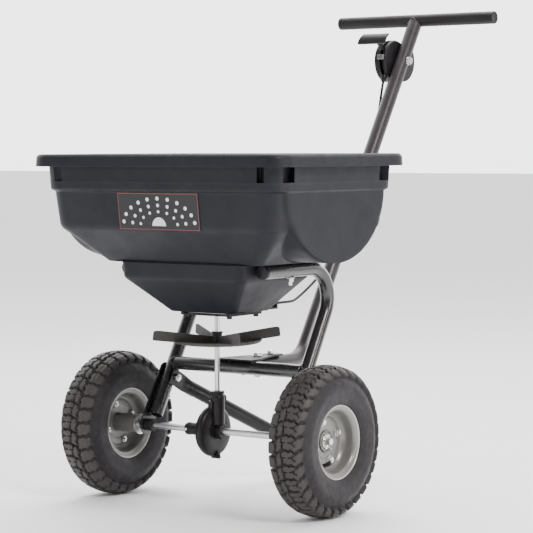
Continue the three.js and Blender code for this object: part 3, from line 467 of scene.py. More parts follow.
def piece(name, shape, material, body="frame", slot=None, bevel=0.0, sharp=38):
    """Puts a shape into the scene on a body, in place of the CAD node of the same name if there is one."""
    mesh = mesh_of(name, shape.moved(SHIFT))
    mesh.shade_smooth()
    mesh.set_sharp_from_angle(angle=math.radians(sharp))
    mesh.materials.append(material)
    obj = object_of(mesh)
    if bevel:
        mod = obj.modifiers.new("edges", "BEVEL")
        mod.width = bevel / 1000
        mod.segments = 2
        mod.limit_method = "ANGLE"
        mod.angle_limit = math.radians(35)
        mod.harden_normals = True
    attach(obj, body)
    if name in frame["nodes"]:
        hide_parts(name)


def pair(name, shape, material, right_body="frame", left_body="frame", **edges):
    """The same piece on the right and mirrored on the left."""
    piece(f"right_{name}", shape, material, right_body, **edges)
    piece(f"left_{name}", shape.mirrored(), material, left_body, **edges)


def boolean(base, cutters, operation="DIFFERENCE"):
    """base with the cutters taken away from it, or joined or kept in common, as a new Shape."""
    objects = [object_of(mesh_of("solid", shape)) for shape in (base, *cutters)]
    for cutter in objects[1:]:
        mod = objects[0].modifiers.new("cut", "BOOLEAN")
        mod.operation, mod.solver, mod.object = operation, "EXACT", cutter
    bpy.context.view_layer.update()
    solved = objects[0].evaluated_get(bpy.context.evaluated_depsgraph_get())
    made = bpy.data.meshes.new_from_object(solved)
    points = np.array([v.co for v in made.vertices]) * 1000
    faces = [tuple(p.vertices) for p in made.polygons]
    for mesh in [obj.data for obj in objects] + [made]:
        bpy.data.meshes.remove(mesh)
    return Shape().add(points, faces)


def bead(loop, radius=2.0, closed=True, ripple=1.6):
    """A weld bead along a line of points, with the ripples of a hand weld."""
    loop = [np.asarray(p, float) for p in loop]
    n = len(loop)
    line = []
    for i, p in enumerate(loop):
        before = loop[i - 1] if closed or i else p
        after = loop[(i + 1) % n] if closed or i < n - 1 else p
        line.append((p, unit(after - before)))
    rings = []
    across = axes_of(line[0][1])[0]
    for i, (p, d) in enumerate(line):
        across = unit(across - d * (across @ d))
        size = radius * (0.9 + 0.14 * math.sin(i * ripple) + 0.06 * math.sin(i * 0.37))
        if not closed and i in (0, n - 1):
            size *= 0.3
        rings.append(circle(p, across, np.cross(d, across), size, 12))
    return Shape().rings(rings, closed=closed)


def leg_y(z):
    return LEG_SLOPE * (z - AXLE_Z)


def pole_y(z):
    return POLE_CORNER_Y + (z - POLE_Z) / POLE_SLOPE


# ---------------------------------------------------------------- frame tubes
LEG_END_Z = 152
leg_top = (SIDE_X, leg_y(SIDE_Z), SIDE_Z)
leg_bottom = (SIDE_X, leg_y(LEG_END_Z), LEG_END_Z)
side_run = run_of([(SIDE_X, SIDE_FRONT_Y, SIDE_Z), leg_top, leg_bottom], [55], 20)
pair("side_tube", swept(side_run, TUBE_R, TUBE_WALL, 56), BLACK_PAINT)

PLUG_R, PLUG_STEM_R = TUBE_R + 0.2, 10
plug = turned(
    soften([(0, 0), (PLUG_R, 0), (PLUG_R, 6.7), (0, 7.2)], [0, 0.5, 2.6, 0], 5),
    (SIDE_X, SIDE_FRONT_Y - GAP, SIDE_Z), (0, -1, 0), 56)
plug.join(rod((SIDE_X, SIDE_FRONT_Y, SIDE_Z), (SIDE_X, SIDE_FRONT_Y + 16, SIDE_Z), PLUG_STEM_R))
pair("tube_plug", plug, BLACK_PLASTIC)

RIGHTWARD = np.array([1.0, 0, 0])
cross_run = [(np.array([x, CROSS_Y, CROSS_Z]), RIGHTWARD) for x in (-SIDE_X + 9, 0, SIDE_X - 9)]
piece("cross_tube", swept(cross_run, TUBE_R, TUBE_WALL, 56), BLACK_PAINT)

leg_way = unit((0, LEG_SLOPE, 1))
weld = []
for t in np.radians(np.arange(0, 360, 5)):
    out = np.array([0, math.cos(t), math.sin(t)]) * TUBE_R
    weld.append((SIDE_X - abs(out @ leg_way), CROSS_Y + out[1], CROSS_Z + out[2]))
pair("cross_weld", bead([(x - 0.6, y, z) for x, y, z in weld], 2.0), BLACK_PAINT)

# ---------------------------------------------------------------- handle
plate_edge = soften(
    [(-40, 50), (40, 50), (40, 78), (18, 140), (18, 186), (-18, 186), (-18, 140), (-40, 78)],
    [2, 2, 8, 14, 9, 9, 14, 8], 6, closed=True)
piece("handle_plate", plate_z(plate_edge, PLATE_Z0, PLATE_Z1), PLATE_PAINT, bevel=0.7)
for side, x in (("left", -38), ("right", 38)):
    seam = [(x + 0.2 * math.sin(y), y, PLATE_Z0 - 1.2) for y in np.arange(53, 72, 1.2)]
    piece(f"plate_weld_{side}", bead(seam, 1.8, closed=False), BLACK_PAINT)

pole_corners = [(0, CROSS_Y + TUBE_R + GAP, POLE_Z), (0, POLE_CORNER_Y, POLE_Z), (0, BAR_Y, BAR_Z)]
pole_line = run_of(pole_corners, [60], 24)
pole_way = pole_line[-1][1]
pole_line[-1] = (pole_line[-1][0] - pole_way * 6, pole_way)
piece("handle_tube", swept(pole_line, POLE_R, TUBE_WALL, 64), SATIN_PAINT)
junction = []
for t in np.radians(np.arange(0, 360, 6)):
    spoke = RIGHTWARD * math.cos(t) + np.cross(pole_way, RIGHTWARD) * math.sin(t)
    reach = math.sqrt(max(TUBE_R**2 - (POLE_R * 0.88 * math.sin(t)) ** 2, 0))
    junction.append(np.array([0, BAR_Y, BAR_Z]) + spoke * (POLE_R - 0.4) - pole_way * (reach + 0.1))
piece("handle_weld", bead(junction, 1.3), SATIN_PAINT)

bar_line = [(np.array([x, BAR_Y, BAR_Z]), RIGHTWARD) for x in (-BAR_HALF + 7, 0, BAR_HALF - 7)]
# The handle bar takes the plate's darker paint instead of the pole's satin paint: the darker colour is
# painted shade.
piece("handle_bar", swept(bar_line, TUBE_R, TUBE_WALL, 64), PLATE_PAINT, slot="satin_paint")
cap_profile = soften(
    [(0, 0), (TUBE_R, 0), (TUBE_R, 6.7), (9.5, 6.7), (8.8, 5.9), (0, 5.9)], [0, 0.5, 1.6, 0.5, 0.5, 0], 4)
bar_cap = turned(cap_profile, (BAR_HALF - 6.7, BAR_Y, BAR_Z), (1, 0, 0), 56)
bar_cap.join(rod((BAR_HALF - 25, BAR_Y, BAR_Z), (BAR_HALF - 6, BAR_Y, BAR_Z), 10))
pair("bar_cap", bar_cap, BLACK_PLASTIC)

for name, y in (("front_plate_bolt", 123), ("rear_plate_bolt", 167)):
    top = PLATE_Z1 + GAP
    bolt = hex_head((0, y, top + 1.2), (0, 0, 1), 13, 5.2)
    bolt.join(washer_under((0, y, top), (0, 0, 1), 9.5, 1.2))
    bolt.join(rod((0, y, POLE_Z - POLE_R - 8), (0, y, top + 1), SHANK_R))
    piece(name, bolt, ZINC_BOLT)
    nut = hex_head((0, y, POLE_Z - POLE_R - 0.2), (0, 0, -1), 13, 6.3)
    piece(name.replace("bolt", "nut"), nut, ZINC_BOLT)

# ---------------------------------------------------------------- rear stand, drawn level and tipped down
# Its ends are flattened over FLAT, and go back to round over TAPER.
STAND_TIP_Y, STAND_END_Y = 435, -14
HALF_ANGLE = math.radians(15)
STAND_BEND_R = 40
FLAT, TAPER, FLAT_HALF, WIDEN = 22, 38, 2.5, 1.25
reach = math.hypot(STAND_TIP_Y - BOLT_Y, BOLT_Z - TUBE_R)
tip = reach + STAND_BEND_R / math.sin(HALF_ANGLE) - STAND_BEND_R
knee = tip - STAND_END_X / math.tan(HALF_ANGLE)
tilt = math.asin((BOLT_Z - TUBE_R) / reach)
half = [(STAND_END_X, STAND_END_Y, 0), (STAND_END_X, knee, 0)]
other_half = [(-x, y, z) for x, y, z in reversed(half)]
stand_run = run_of([*half, (0, tip, 0), *other_half], [30, STAND_BEND_R, 30], 16)
flat_runs = []
for end, sign in ((stand_run[0][0], 1), (stand_run[-1][0], -1)):
    steps = np.linspace(STAND_END_Y, FLAT + TAPER + 4, 22)
    flat_runs.append([(np.array([end[0], y, 0.0]), np.array([0.0, sign, 0.0])) for y in steps])
stand_line = flat_runs[0] + stand_run[1:-1] + flat_runs[1][::-1]
stand_shape = swept(stand_line, TUBE_R, TUBE_WALL, 56)
p = np.concatenate(stand_shape.points)
blend = np.clip((p[:, 1] - FLAT) / TAPER, 0, 1)
blend = blend * blend * (3 - 2 * blend)
side = np.sign(p[:, 0])
centre_x = side * STAND_END_X
near = blend < 1
squeeze = FLAT_HALF / TUBE_R + (1 - FLAT_HALF / TUBE_R) * blend
p[:, 0] = np.where(near, centre_x + (p[:, 0] - centre_x) * squeeze, p[:, 0])
p[:, 2] = np.where(near, p[:, 2] * (WIDEN + (1 - WIDEN) * blend), p[:, 2])
c, s = math.cos(-tilt), math.sin(-tilt)
p = np.stack([p[:, 0], p[:, 1] * c - p[:, 2] * s + BOLT_Y, p[:, 1] * s + p[:, 2] * c + BOLT_Z], 1)
p[:, 2] = np.maximum(p[:, 2], STAND_LOW)
# The stand takes the darker copy of the gloss black: painted shade.
piece("stand", Shape().add(p, stand_shape.faces), STAND_SHADED_PAINT)

# ---------------------------------------------------------------- axle brackets, bushings and their bolts
BRACKET_X = ends("right_axle_bracket")[0][0]
BRACKET_T = 3
BRACKET_TOP_Z = 231
lean = math.degrees(math.atan2(BRACKET_TOP_Z - AXLE_Z, leg_y(BRACKET_TOP_Z)))
outline = arc(0, AXLE_Z, 18, lean + 90, lean + 270, 24)
outline += arc(leg_y(BRACKET_TOP_Z), BRACKET_TOP_Z, 15, lean - 90, lean + 90, 24)
BUSHING_NECK_R = 8.6
neck_room = rod((BRACKET_X - 5, 0, AXLE_Z), (BRACKET_X + 9, 0, AXLE_Z), BUSHING_NECK_R + GAP)
bracket = boolean(plate_x(outline, BRACKET_X, BRACKET_X + BRACKET_T), [neck_room])
pair("axle_bracket", bracket, BLACK_PAINT, bevel=0.6)
seams = Shape()
for side_y in (-1, 1):
    seam = [(BRACKET_X - 0.4, leg_y(z) + side_y * 5, z) for z in np.arange(178, 206, 1.3)]
    seams.join(bead(seam, 1.7, closed=False))
pair("bracket_weld", seams, BLACK_PAINT)
bushing = collar((SIDE_X - 5, 0, AXLE_Z), (BRACKET_X - GAP, 0, AXLE_Z), AXLE_R + GAP, 11, 0.8)
bushing.join(collar((SIDE_X, 0, AXLE_Z), (BRACKET_X + 6, 0, AXLE_Z), AXLE_R + GAP, BUSHING_NECK_R, 0.8))
pair("axle_bushing", bushing, BLACK_PLASTIC)

head_x = BRACKET_X + BRACKET_T + GAP
bolt = hex_head((head_x, BOLT_Y, BOLT_Z), (1, 0, 0), 13, 5.3)
bolt.join(rod((STAND_END_X - 12, BOLT_Y, BOLT_Z), (head_x + 1, BOLT_Y, BOLT_Z), SHANK_R))
pair("stand_bolt", bolt, ZINC_BOLT)
nut_x = ends("right_stand_nut")[1][0]
nut = hex_head((nut_x, BOLT_Y, BOLT_Z), (-1, 0, 0), 13, 6.5)
pair("stand_nut", nut, ZINC_BOLT)

# ---------------------------------------------------------------- hopper
# Level sections from the floor up: half length, half width, corner radius, middle in Y, height.
LEDGE_Z = SIDE_Z + TUBE_R + GAP
UNDER_RIM = RIM_TOP - WALL
wall_sections = [
    (73, 57, 14, 8, FLOOR_Z),
    (136, 106, 16, -2, 415),
    (138, 108, 16, -2, LEDGE_Z),
    (172, 113, 14, HOPPER_Y, LEDGE_Z),
    (246, 174, 34, HOPPER_Y, 506),
    (253, 182, 38, HOPPER_Y, 570),
    (260, 189, 42, HOPPER_Y, 574),
    (263, 192, 42, HOPPER_Y, UNDER_RIM),
]
rim_sections = [
    (263, 192, 42, HOPPER_Y, UNDER_RIM),
    (RIM_X - WALL - 1, RIM_Y - WALL - 1, 41, HOPPER_Y, UNDER_RIM),
    (RIM_X - WALL, RIM_Y - WALL, 42, HOPPER_Y, 615),
    (RIM_X, RIM_Y, 45, HOPPER_Y, 615),
    (RIM_X - 1, RIM_Y - 1, 44, HOPPER_Y, RIM_TOP - 5),
    (RIM_X - 5, RIM_Y - 5, 41, HOPPER_Y, RIM_TOP),
    (263 - WALL, 192 - WALL, 39, HOPPER_Y, RIM_TOP),
]
TROUGH_X, TROUGH_Z, TROUGH_A, TROUGH_B = 258, 575, 153, 129
POCKET_LOW, POCKET_DEEP = 589, 15
FRONT_POCKETS = [(-229.5, -211.4), (224.7, 240.4)]
SIDE_POCKETS = [(-158, -127), (138, 176)]
RAY_X, RAY_Y = 262.0, 191.0  # half the rectangle that the rays' ends are spread round


def plan_rays():
    """Directions from the middle to points spread round the plan, closer together at pockets and corners."""
    xs = sorted({*np.linspace(-205, 205, 42).round(2), *np.linspace(209, 263, 24).round(2),
                 *(-np.linspace(209, 263, 24)).round(2)})
    for low, high in FRONT_POCKETS:
        xs = [x for x in xs if abs(x - low) > 2.2 and abs(x - high) > 2.2]
        xs = sorted(xs + [low - 0.5, low + 0.7, high - 0.7, high + 0.5])
    ys = sorted({*np.linspace(-190, 190, 90).round(2)})
    for low, high in SIDE_POCKETS:
        low, high = low - HOPPER_Y, high - HOPPER_Y
        ys = [y for y in ys if abs(y - low) > 2.2 and abs(y - high) > 2.2]
        ys = sorted(ys + [low - 0.5, low + 0.7, high - 0.7, high + 0.5])
    ring = [(x, -RAY_Y) for x in xs] + [(RAY_X, y) for y in ys]
    ring += [(x, RAY_Y) for x in reversed(xs)] + [(-RAY_X, y) for y in reversed(ys)]
    return np.array(ring)


RAYS = plan_rays()


def reach_to(half_x, half_y, corner):
    """How far each ray goes, as a share of its length, before it leaves a rounded rectangle."""
    x, y = np.abs(RAYS[:, 0]), np.abs(RAYS[:, 1])
    share = np.minimum(half_x / x, half_y / np.maximum(y, 1e-6))
    cx, cy = half_x - corner, half_y - corner
    at_corner = (x * share > cx) & (y * share > cy)
    a = x * x + y * y
    b = x * cx + y * cy
    c = cx * cx + cy * cy - corner * corner
    round_share = (b + np.sqrt(np.maximum(b * b - a * c, 0))) / a
    return np.where(at_corner, round_share, share)


def soft_max(a, b, size):
    gap = np.clip(0.5 + 0.5 * (a - b) / size, 0, 1)
    return b * (1 - gap) + a * gap + size * gap * (1 - gap)


def hopper_ring(section, inset=0.0):
    half_x, half_y, corner, mid_y, z = section
    share = reach_to(half_x - inset, half_y - inset, max(corner - inset, 2))
    drop = (TROUGH_Z - z) / (TROUGH_B - inset)
    if 0 < drop < 1:
        half_a = (TROUGH_A - inset) * math.sqrt(1 - drop * drop)
        trough = reach_to(TROUGH_X - inset, half_a, min(6, half_a * 0.5))
        share = soft_max(share, trough, 0.018)
    length = np.hypot(RAYS[:, 0], RAYS[:, 1])
    x, y = RAYS[:, 0] * share, RAYS[:, 1] * share
    in_pocket = np.zeros(len(RAYS), bool)
    if z > POCKET_LOW and half_x < 264:
        for low, high in FRONT_POCKETS:
            in_pocket |= (RAYS[:, 0] > low) & (RAYS[:, 0] < high) & (np.abs(RAYS[:, 1]) == RAY_Y)
        for low, high in SIDE_POCKETS:
            low, high = low - HOPPER_Y, high - HOPPER_Y
            in_pocket |= (RAYS[:, 1] > low) & (RAYS[:, 1] < high) & (np.abs(RAYS[:, 0]) == RAY_X)
    inward = np.where(in_pocket, POCKET_DEEP / length, 0)
    x, y = x - RAYS[:, 0] * inward, y - RAYS[:, 1] * inward
    return np.stack([x, y + mid_y, np.full(len(RAYS), z)], 1)


def levels_between(sections, reach, step=5):
    """Rounds the corners of the run of sections and fills its long stretches with more levels."""
    line = soften(sections, reach, 4)
    filled = []
    for a, b in zip(line, line[1:]):
        near_bottom = min(a[4], b[4]) < TROUGH_Z - TROUGH_B + 22 < TROUGH_Z and a[4] > LEDGE_Z + 0.5
        count = max(1, int(np.linalg.norm((b - a)[[0, 4]]) / (0.8 if near_bottom else step)))
        filled += [a + (b - a) * k / count for k in range(count)]
    return filled + [line[-1]]


wall_levels = levels_between(wall_sections, [0, 4, 2.5, 2.5, 8, 2, 3, 0])
first = next(i for i, level in enumerate(wall_levels) if level[4] > POCKET_LOW)
for dz in (0.6, -0.6):
    wall_levels.insert(first, np.array([*wall_levels[first][:4], POCKET_LOW + dz]))
rim_levels = levels_between(rim_sections, [0, 2, 1, 1, 2.5, 3, 0])
inner_rings = []
for section in reversed(wall_levels):
    ring = hopper_ring(section, WALL)
    lift = WALL if section[4] < 500 else 0
    ring[:, 2] = section[4] + lift
    inner_rings.append(ring)
outer_rings = [hopper_ring(section) for section in wall_levels + rim_levels[1:]]
hopper_shape = Shape().rings(outer_rings + inner_rings)
ports = [rod((x, 14, FLOOR_Z - 6), (x, 14, FLOOR_Z + 12), 11) for x in (-34, 34)]
ports.append(rod((0, 0, FLOOR_Z - 6), (0, 0, FLOOR_Z + 12), 8.3))
piece("hopper", boolean(hopper_shape, ports), HOPPER, sharp=46)

HOPPER_BOLT_Y = 14
tube_low, ledge_high = SIDE_Z - TUBE_R, LEDGE_Z + WALL
bolt = hex_head((SIDE_X, HOPPER_BOLT_Y, ledge_high + GAP), (0, 0, 1), 13, 5)
bolt.join(rod((SIDE_X, HOPPER_BOLT_Y, tube_low - 14), (SIDE_X, HOPPER_BOLT_Y, ledge_high + 1), SHANK_R))
pair("hopper_bolt", bolt, ZINC_BOLT)
nut = hex_head((SIDE_X, HOPPER_BOLT_Y, tube_low - 1.7), (0, 0, -1), 13, 6.3)
nut.join(washer_under((SIDE_X, HOPPER_BOLT_Y, tube_low - 1.6), (0, 0, 1), 9, 1.3))
pair("hopper_nut", nut, ZINC_BOLT)

# ---------------------------------------------------------------- label on the hopper's front
# A dark film with a thin border, and a fan of seed dots thrown from a half disc.
LABEL_HALF_X, LABEL_Z0, LABEL_Z1 = 90, 504, 570
LABEL_MIDDLE_X, LABEL_STAND_OFF = 2, 0.55


def label_point(x, height, lift):
    """A point on the label: height runs from 0 at its lower edge to 1, lift stands off the wall."""
    z = LABEL_Z0 + (LABEL_Z1 - LABEL_Z0) * height
    low_y, low_z, high_y, high_z = [wall_sections[i][j] for i in (4, 5) for j in (1, 4)]
    front = low_y + (high_y - low_y) * (z - low_z) / (high_z - low_z)
    return (LABEL_MIDDLE_X + x, HOPPER_Y - front - LABEL_STAND_OFF - lift, z)


def label_patch(outline, low, high):
    rings = [[label_point(x, h, lift) for x, h in outline] for lift in (low, high)]
    return Shape().rings(rings)


def label_frame(inset_x, width_x):
    aspect = 2 * LABEL_HALF_X / (LABEL_Z1 - LABEL_Z0)
    rings = []
    inner = inset_x + width_x
    for margin, lift in ((inset_x, 0.3), (inset_x, 0.5), (inner, 0.5), (inner, 0.3)):
        x, h = LABEL_HALF_X - margin, margin / (2 * LABEL_HALF_X) * aspect
        rings.append([label_point(a, b, lift) for a, b in ((-x, h), (x, h), (x, 1 - h), (-x, 1 - h))])
    return Shape().rings(rings, closed=True)


def round_patch(x, height, radius, low, high, start=0, stop=360):
    tall = LABEL_Z1 - LABEL_Z0
    steps = np.radians(np.linspace(start, stop, 25)[: -1 if stop - start == 360 else None])
    outline = [(x + radius * math.cos(a), height + radius * math.sin(a) / tall) for a in steps]
    return label_patch(outline, low, high)


corners = [(-LABEL_HALF_X, 0), (LABEL_HALF_X, 0), (LABEL_HALF_X, 1), (-LABEL_HALF_X, 1)]
piece("label_film", label_patch(corners, 0.0, 0.3), LABEL_BLACK)
piece("label_border", label_frame(1.2, 1.1), LABEL_RED)
FAN_HEIGHT, FAN_SPREAD = 0.12, 1.66
motif = round_patch(0, FAN_HEIGHT, 15, 0.3, 0.5, 0, 180)
for distance, count, size in ((25, 7, 2.7), (36, 9, 3.1), (48, 11, 3.5)):
    for k in range(count):
        angle = math.radians(8 + 164 * k / (count - 1))
        height = FAN_HEIGHT + distance * math.sin(angle) / (LABEL_Z1 - LABEL_Z0)
        motif.join(round_patch(distance * math.cos(angle) * FAN_SPREAD, height, size, 0.3, 0.5))
piece("label_motif", motif, LABEL_WHITE)

# ---------------------------------------------------------------- impeller
BLADE_T = 3
DISH_R, IMPELLER_R = 82, 122
dish_profile = [(0, 0), (60, 0), (DISH_R - 4, 3.5), (DISH_R, 8), (DISH_R - 2, 9), (DISH_R - 6, 6.5), (60, 4),
                (0, 4)]
dish = turned(soften(dish_profile, [0, 6, 3, 0.9, 0.9, 2, 5, 0], 5), (0, 0, IMPELLER_Z), (0, 0, 1), 120)
blade_edge = soften(
    [(7, 4), (DISH_R, 6.5), (IMPELLER_R - 1, 11), (IMPELLER_R, 14), (IMPELLER_R - 1.5, 28.5),
     (IMPELLER_R - 12, 28.5), (7, 15)], [0.5, 8, 2, 2, 9, 9, 0.5], 6, closed=True)
impeller = dish.join(turned(
    soften([(0, 1), (9, 1), (9, 22), (10.5, 22), (10.5, 24), (0, 24)], [0, 0, 0.4, 0.4, 0.6, 0]),
    (0, 0, IMPELLER_Z - 0.5), (0, 0, 1), 48))
for angle in (56, 146, 236, 326):
    a = math.radians(angle)
    out, sideways = np.array([math.cos(a), math.sin(a), 0]), np.array([-math.sin(a), math.cos(a), 0])
    start = np.array([0, 0, IMPELLER_Z]) - sideways * BLADE_T / 2
    impeller.join(prism(blade_edge, sideways, out, (0, 0, 1), start, BLADE_T))
    foot = [(12, -2.6), (DISH_R - 8, -2.6), (DISH_R - 4, 0), (DISH_R - 8, 2.6), (12, 2.6)]
    impeller.join(prism(foot, (0, 0, 1), out, sideways, (0, 0, IMPELLER_Z + 2.5), 3.4))
piece("impeller", impeller, IMPELLER_PLASTIC, "impeller_shaft", bevel=0.45)
cross_pin = rod((-12, 0, IMPELLER_Z + 14), (12, 0, IMPELLER_Z + 14), 1.6)
piece("impeller_pin", cross_pin, ZINC_BOLT, "impeller_shaft")

shaft_z0, shaft_z1 = ends("drive_shaft")[0][2], ends("drive_shaft")[1][2]
piece("drive_shaft", rod((0, 0, shaft_z0), (0, 0, shaft_z1), SHAFT_R, 0.8), ZINC, "impeller_shaft")

# ---------------------------------------------------------------- gearbox
CASE_R, CASE_LEFT, CASE_RIGHT, SEAM_X = 47, -26, 1, -4
BOSS_R = 13.2
AXLE_BOSS_END = -69
# Each lug: its Y, Z and radius, and which way its web runs to the disc.
LUGS = ((15, 193, 6.5, -1, 0), (0, 87, 3.5, 0, 1))
ALONG_AXLE = ((0, 0, AXLE_Z), (1, 0, 0))


def case_half(x_low, x_high):
    """One moulded half of the gearbox: the domed disc, its share of the boss, and its lugs."""
    profile = [
        (0, CASE_LEFT), (28, CASE_LEFT), (CASE_R - 5, CASE_LEFT + 6), (CASE_R - 0.5, CASE_LEFT + 13),
        (CASE_R, -8), (CASE_R - 0.8, -4.4), (CASE_R - 5, -1.4), (CASE_R - 17, CASE_RIGHT), (0, CASE_RIGHT)]
    body = turned(soften(profile, [0, 14, 8, 5, 2, 3, 5, 8, 0], 6), *ALONG_AXLE, 96)
    boss = [(0, 146), (BOSS_R, 146), (BOSS_R, 197), (BOSS_R - 1.4, 199), (BOSS_R - 1.4, 202),
            (BOSS_R - 0.4, 203), (BOSS_R - 0.4, 207), (SHAFT_R + 1.4, 207),
            (SHAFT_R + 1.4, 204.5), (0, 204.5)]
    parts = [turned(soften(boss, 0.7), (0, 0, 0), (0, 0, 1), 72)]
    for y, z, r, dy, dz in LUGS:
        lug = soften([(0, -13), (r, -13), (r, 5), (0, 5)], 0.9)
        parts.append(turned(lug, (0, y, z), (1, 0, 0), 32))
        low = (-12.6, min(y, y + dy * 14) - 3 * dz, min(z, z + dz * 10) - r * (1 - dz))
        high = (3.6, max(y, y + dy * 14) + 3 * dz, max(z, z + dz * 10) + (r - 1) * (1 - dz))
        parts.append(block(low, high))
    end = AXLE_BOSS_END
    axle_boss = [(0, end), (10.6, end), (11.6, end + 1.4), (11.6, end + 9), (10.8, end + 10), (11.9, -34),
                 (13.5, -22), (0, -22)]
    parts.append(turned(soften(axle_boss, [0, 0.8, 0.8, 0.6, 0.6, 2, 2, 0]), *ALONG_AXLE, 64))
    parts.append(turned(soften([(0, -2), (14, -2), (14, 14), (0, 14)], 1.4), *ALONG_AXLE, 64))
    for y0, y1 in ((-17, -12), (12, 17)):
        parts.append(plate_x([(y0, 160), (y1, 160), (y1 * 0.98, 190), (y0 * 0.98, 190)], -9, 0.6))
    whole = boolean(body, parts, "UNION")
    gear_room = turned([(0, CASE_LEFT + 3), (24, CASE_LEFT + 3), (CASE_R - 8, -18), (CASE_R - 3.4, -14.8),
                        (CASE_R - 3.4, -5.8), (0, -5.8)], *ALONG_AXLE, 96)
    pinion_low, pinion_high = ends("pinion")
    pinion_room = rod((0, 0, pinion_low[2] - 2), (0, 0, pinion_high[2] + 1), pinion_high[0] + 0.8)
    shaft_room = rod((0, 0, pinion_low[2] - 16), (0, 0, 230), SHAFT_R + GAP)
    axle_room = rod((-90, 0, AXLE_Z), (90, 0, AXLE_Z), AXLE_R + GAP)
    whole = boolean(whole, [gear_room, pinion_room, shaft_room, axle_room])
    keep = block((x_low, -90, 60), (x_high, 90, 240))
    return boolean(whole, [keep], "INTERSECT")


piece("gearbox_left_half", case_half(-80, SEAM_X - 0.15), CASE_PLASTIC, sharp=42)
piece("gearbox_right_half", case_half(SEAM_X + 0.15, 60), CASE_PLASTIC, sharp=42)
for i, lug in enumerate(LUGS):
    y, z, lug_r = lug[:3]
    r = min(4, 0.8 * lug_r)
    head = soften([(0, 0), (r, 0), (r, 1.2), (0.55 * r, 2.9), (0, 3.1)], [0, 0.4, 1.2, 1.2, 0], 4)
    piece(f"gearbox_screw_{i + 1}", turned(head, (-13, y, z), (-1, 0, 0), 40), ZINC_BOLT)
grub = turned(soften([(0, 0), (2.6, 0), (2.6, 1.1), (1.3, 1.1), (1.1, 0.4), (0, 0.4)], 0.2),
              (AXLE_BOSS_END + 4.4, -11.2, AXLE_Z), (0, -1, 0), 32)
piece("boss_set_screw", grub, ZINC_BOLT)

# ---------------------------------------------------------------- axle
piece("axle", rod((-AXLE_END_X, 0, AXLE_Z), (AXLE_END_X, 0, AXLE_Z), AXLE_R, 0.9, 48), ZINC, "drive_axle")
washer = collar((HUB_OUT + GAP, 0, AXLE_Z), (HUB_OUT + 2.3, 0, AXLE_Z), AXLE_R + GAP, 13, 0.4)
pair("wheel_washer", washer, ZINC_BOLT, "drive_axle", "drive_axle")
COTTER_X = 244.5
cotter = Shape()
for side_x in (-0.72, 0.72):
    x = COTTER_X + side_x
    leg = run_of([(x, 0, AXLE_Z + 9), (x, 0, AXLE_Z - 10), (x + side_x * 2, side_x * 9, AXLE_Z - 14)], [2.5])
    cotter.join(swept(leg, 0.7, sides=12))
turns = np.radians(range(20, 341, 16))
eye = [(COTTER_X + 2.6 * math.sin(a), 0, AXLE_Z + 11 - 2.6 * math.cos(a)) for a in turns]
cotter.join(bead(eye, 0.72, closed=False, ripple=0))
pair("cotter_pin", cotter, ZINC_BOLT, "drive_axle", "drive_axle")

# ---------------------------------------------------------------- wheels, drawn about their own centre
WHEEL = np.array([WHEEL_X, 0, AXLE_Z])
PITCHES = 32
STEPS = 22
TREAD_DEEP = 6
BLOCK_END, BAND_END = 43, 62  # where the blocks stop, and where the sunk band meets the sidewall


def tyre_profile():
    """The tyre's section as [radius, x]: bead to bead over the tread, and then the inside."""
    outside = [(57, 18), (58.5, 22.5), (65.6, 26.6), (66.2, 31.5), (76, 37), (100, TYRE_HALF), (121, 35.5),
               (130, 27), (WHEEL_R - 0.2, 9), (WHEEL_R, 0)]
    line = soften(outside, [0, 1.5, 2, 2, 6, 11, 6, 6, 8, 0], 5)
    fine = []
    for a, b in zip(line, line[1:]):
        count = max(1, int(np.linalg.norm(b - a) / (1.3 if a[0] > 112 else 2.4)))
        fine += [a + (b - a) * k / count for k in range(count)]
    outer = fine + [line[-1]] + [p * (1, -1) for p in reversed(fine)]
    inner = soften([(124, 0), (124, 8), (117, 26), (100, 34), (72, 30), (61, 22)], 6, 3)
    inner = [p * (1, -1) for p in reversed(inner)] + inner[1:]
    return np.array(outer), np.array(inner)


def step(value, edge, soft):
    return np.clip((value - edge) / soft + 0.5, 0, 1)


def tread_height(w, s):
    """1 on a block's top and 0 in a groove. w runs across the tread from its middle, s round it in mm."""
    pitch = 2 * math.pi * WHEEL_R / PITCHES

    def across(position, width, soft=1.2):
        return step(np.abs(w - position), width / 2, soft)

    def lateral(offset, width, soft=1.2):
        near = np.abs((s + offset + pitch / 2) % pitch - pitch / 2)
        return step(near, width / 2, soft)

    wave = 1.2 * np.sin(w * 0.55)
    bend = wave + np.where(w < 18, 0.04 * w, np.where(w < 28, 5.5 * (w - 18) / 10, 5.5 - 8.0 * (w - 28) / 11))
    stagger = np.where(w < -14, pitch / 2, np.where(w < 0, pitch * 0.18, 0))
    shoulder = np.clip((np.abs(w) - 26) / 14, 0, 1)
    height = lateral(bend + stagger, 4.2 + 3.6 * shoulder, 1.2 + 1.6 * shoulder)
    height = np.minimum(height, across(-12.5 + 1.3 * np.sin(s * 4 * math.pi / pitch), 4.2))
    height = np.minimum(height, across(1 + 1.4 * np.sin(s * 2 * math.pi / pitch), 2.2))
    thin = across(-25, 1.5, 0.9)
    for toe in (0.0, 0.95, -0.95):
        foot = np.abs(s % pitch - pitch / 2 - toe * (w - 20))
        on_toe = (w > 14) & (w < 22) if toe == 0 else (w > 20) & (w < 27)
        thin = np.minimum(thin, np.where(on_toe, step(foot, 0.9, 0.9), 1))
    sipe = np.abs(s % pitch - pitch / 2)
    thin = np.minimum(thin, np.where((w > 2) & (w < 9), step(sipe, 0.7, 0.9), 1))
    height = np.minimum(height, np.maximum(thin, 0.35))
    return height * (1 - step(np.abs(w), BLOCK_END, 1.4))


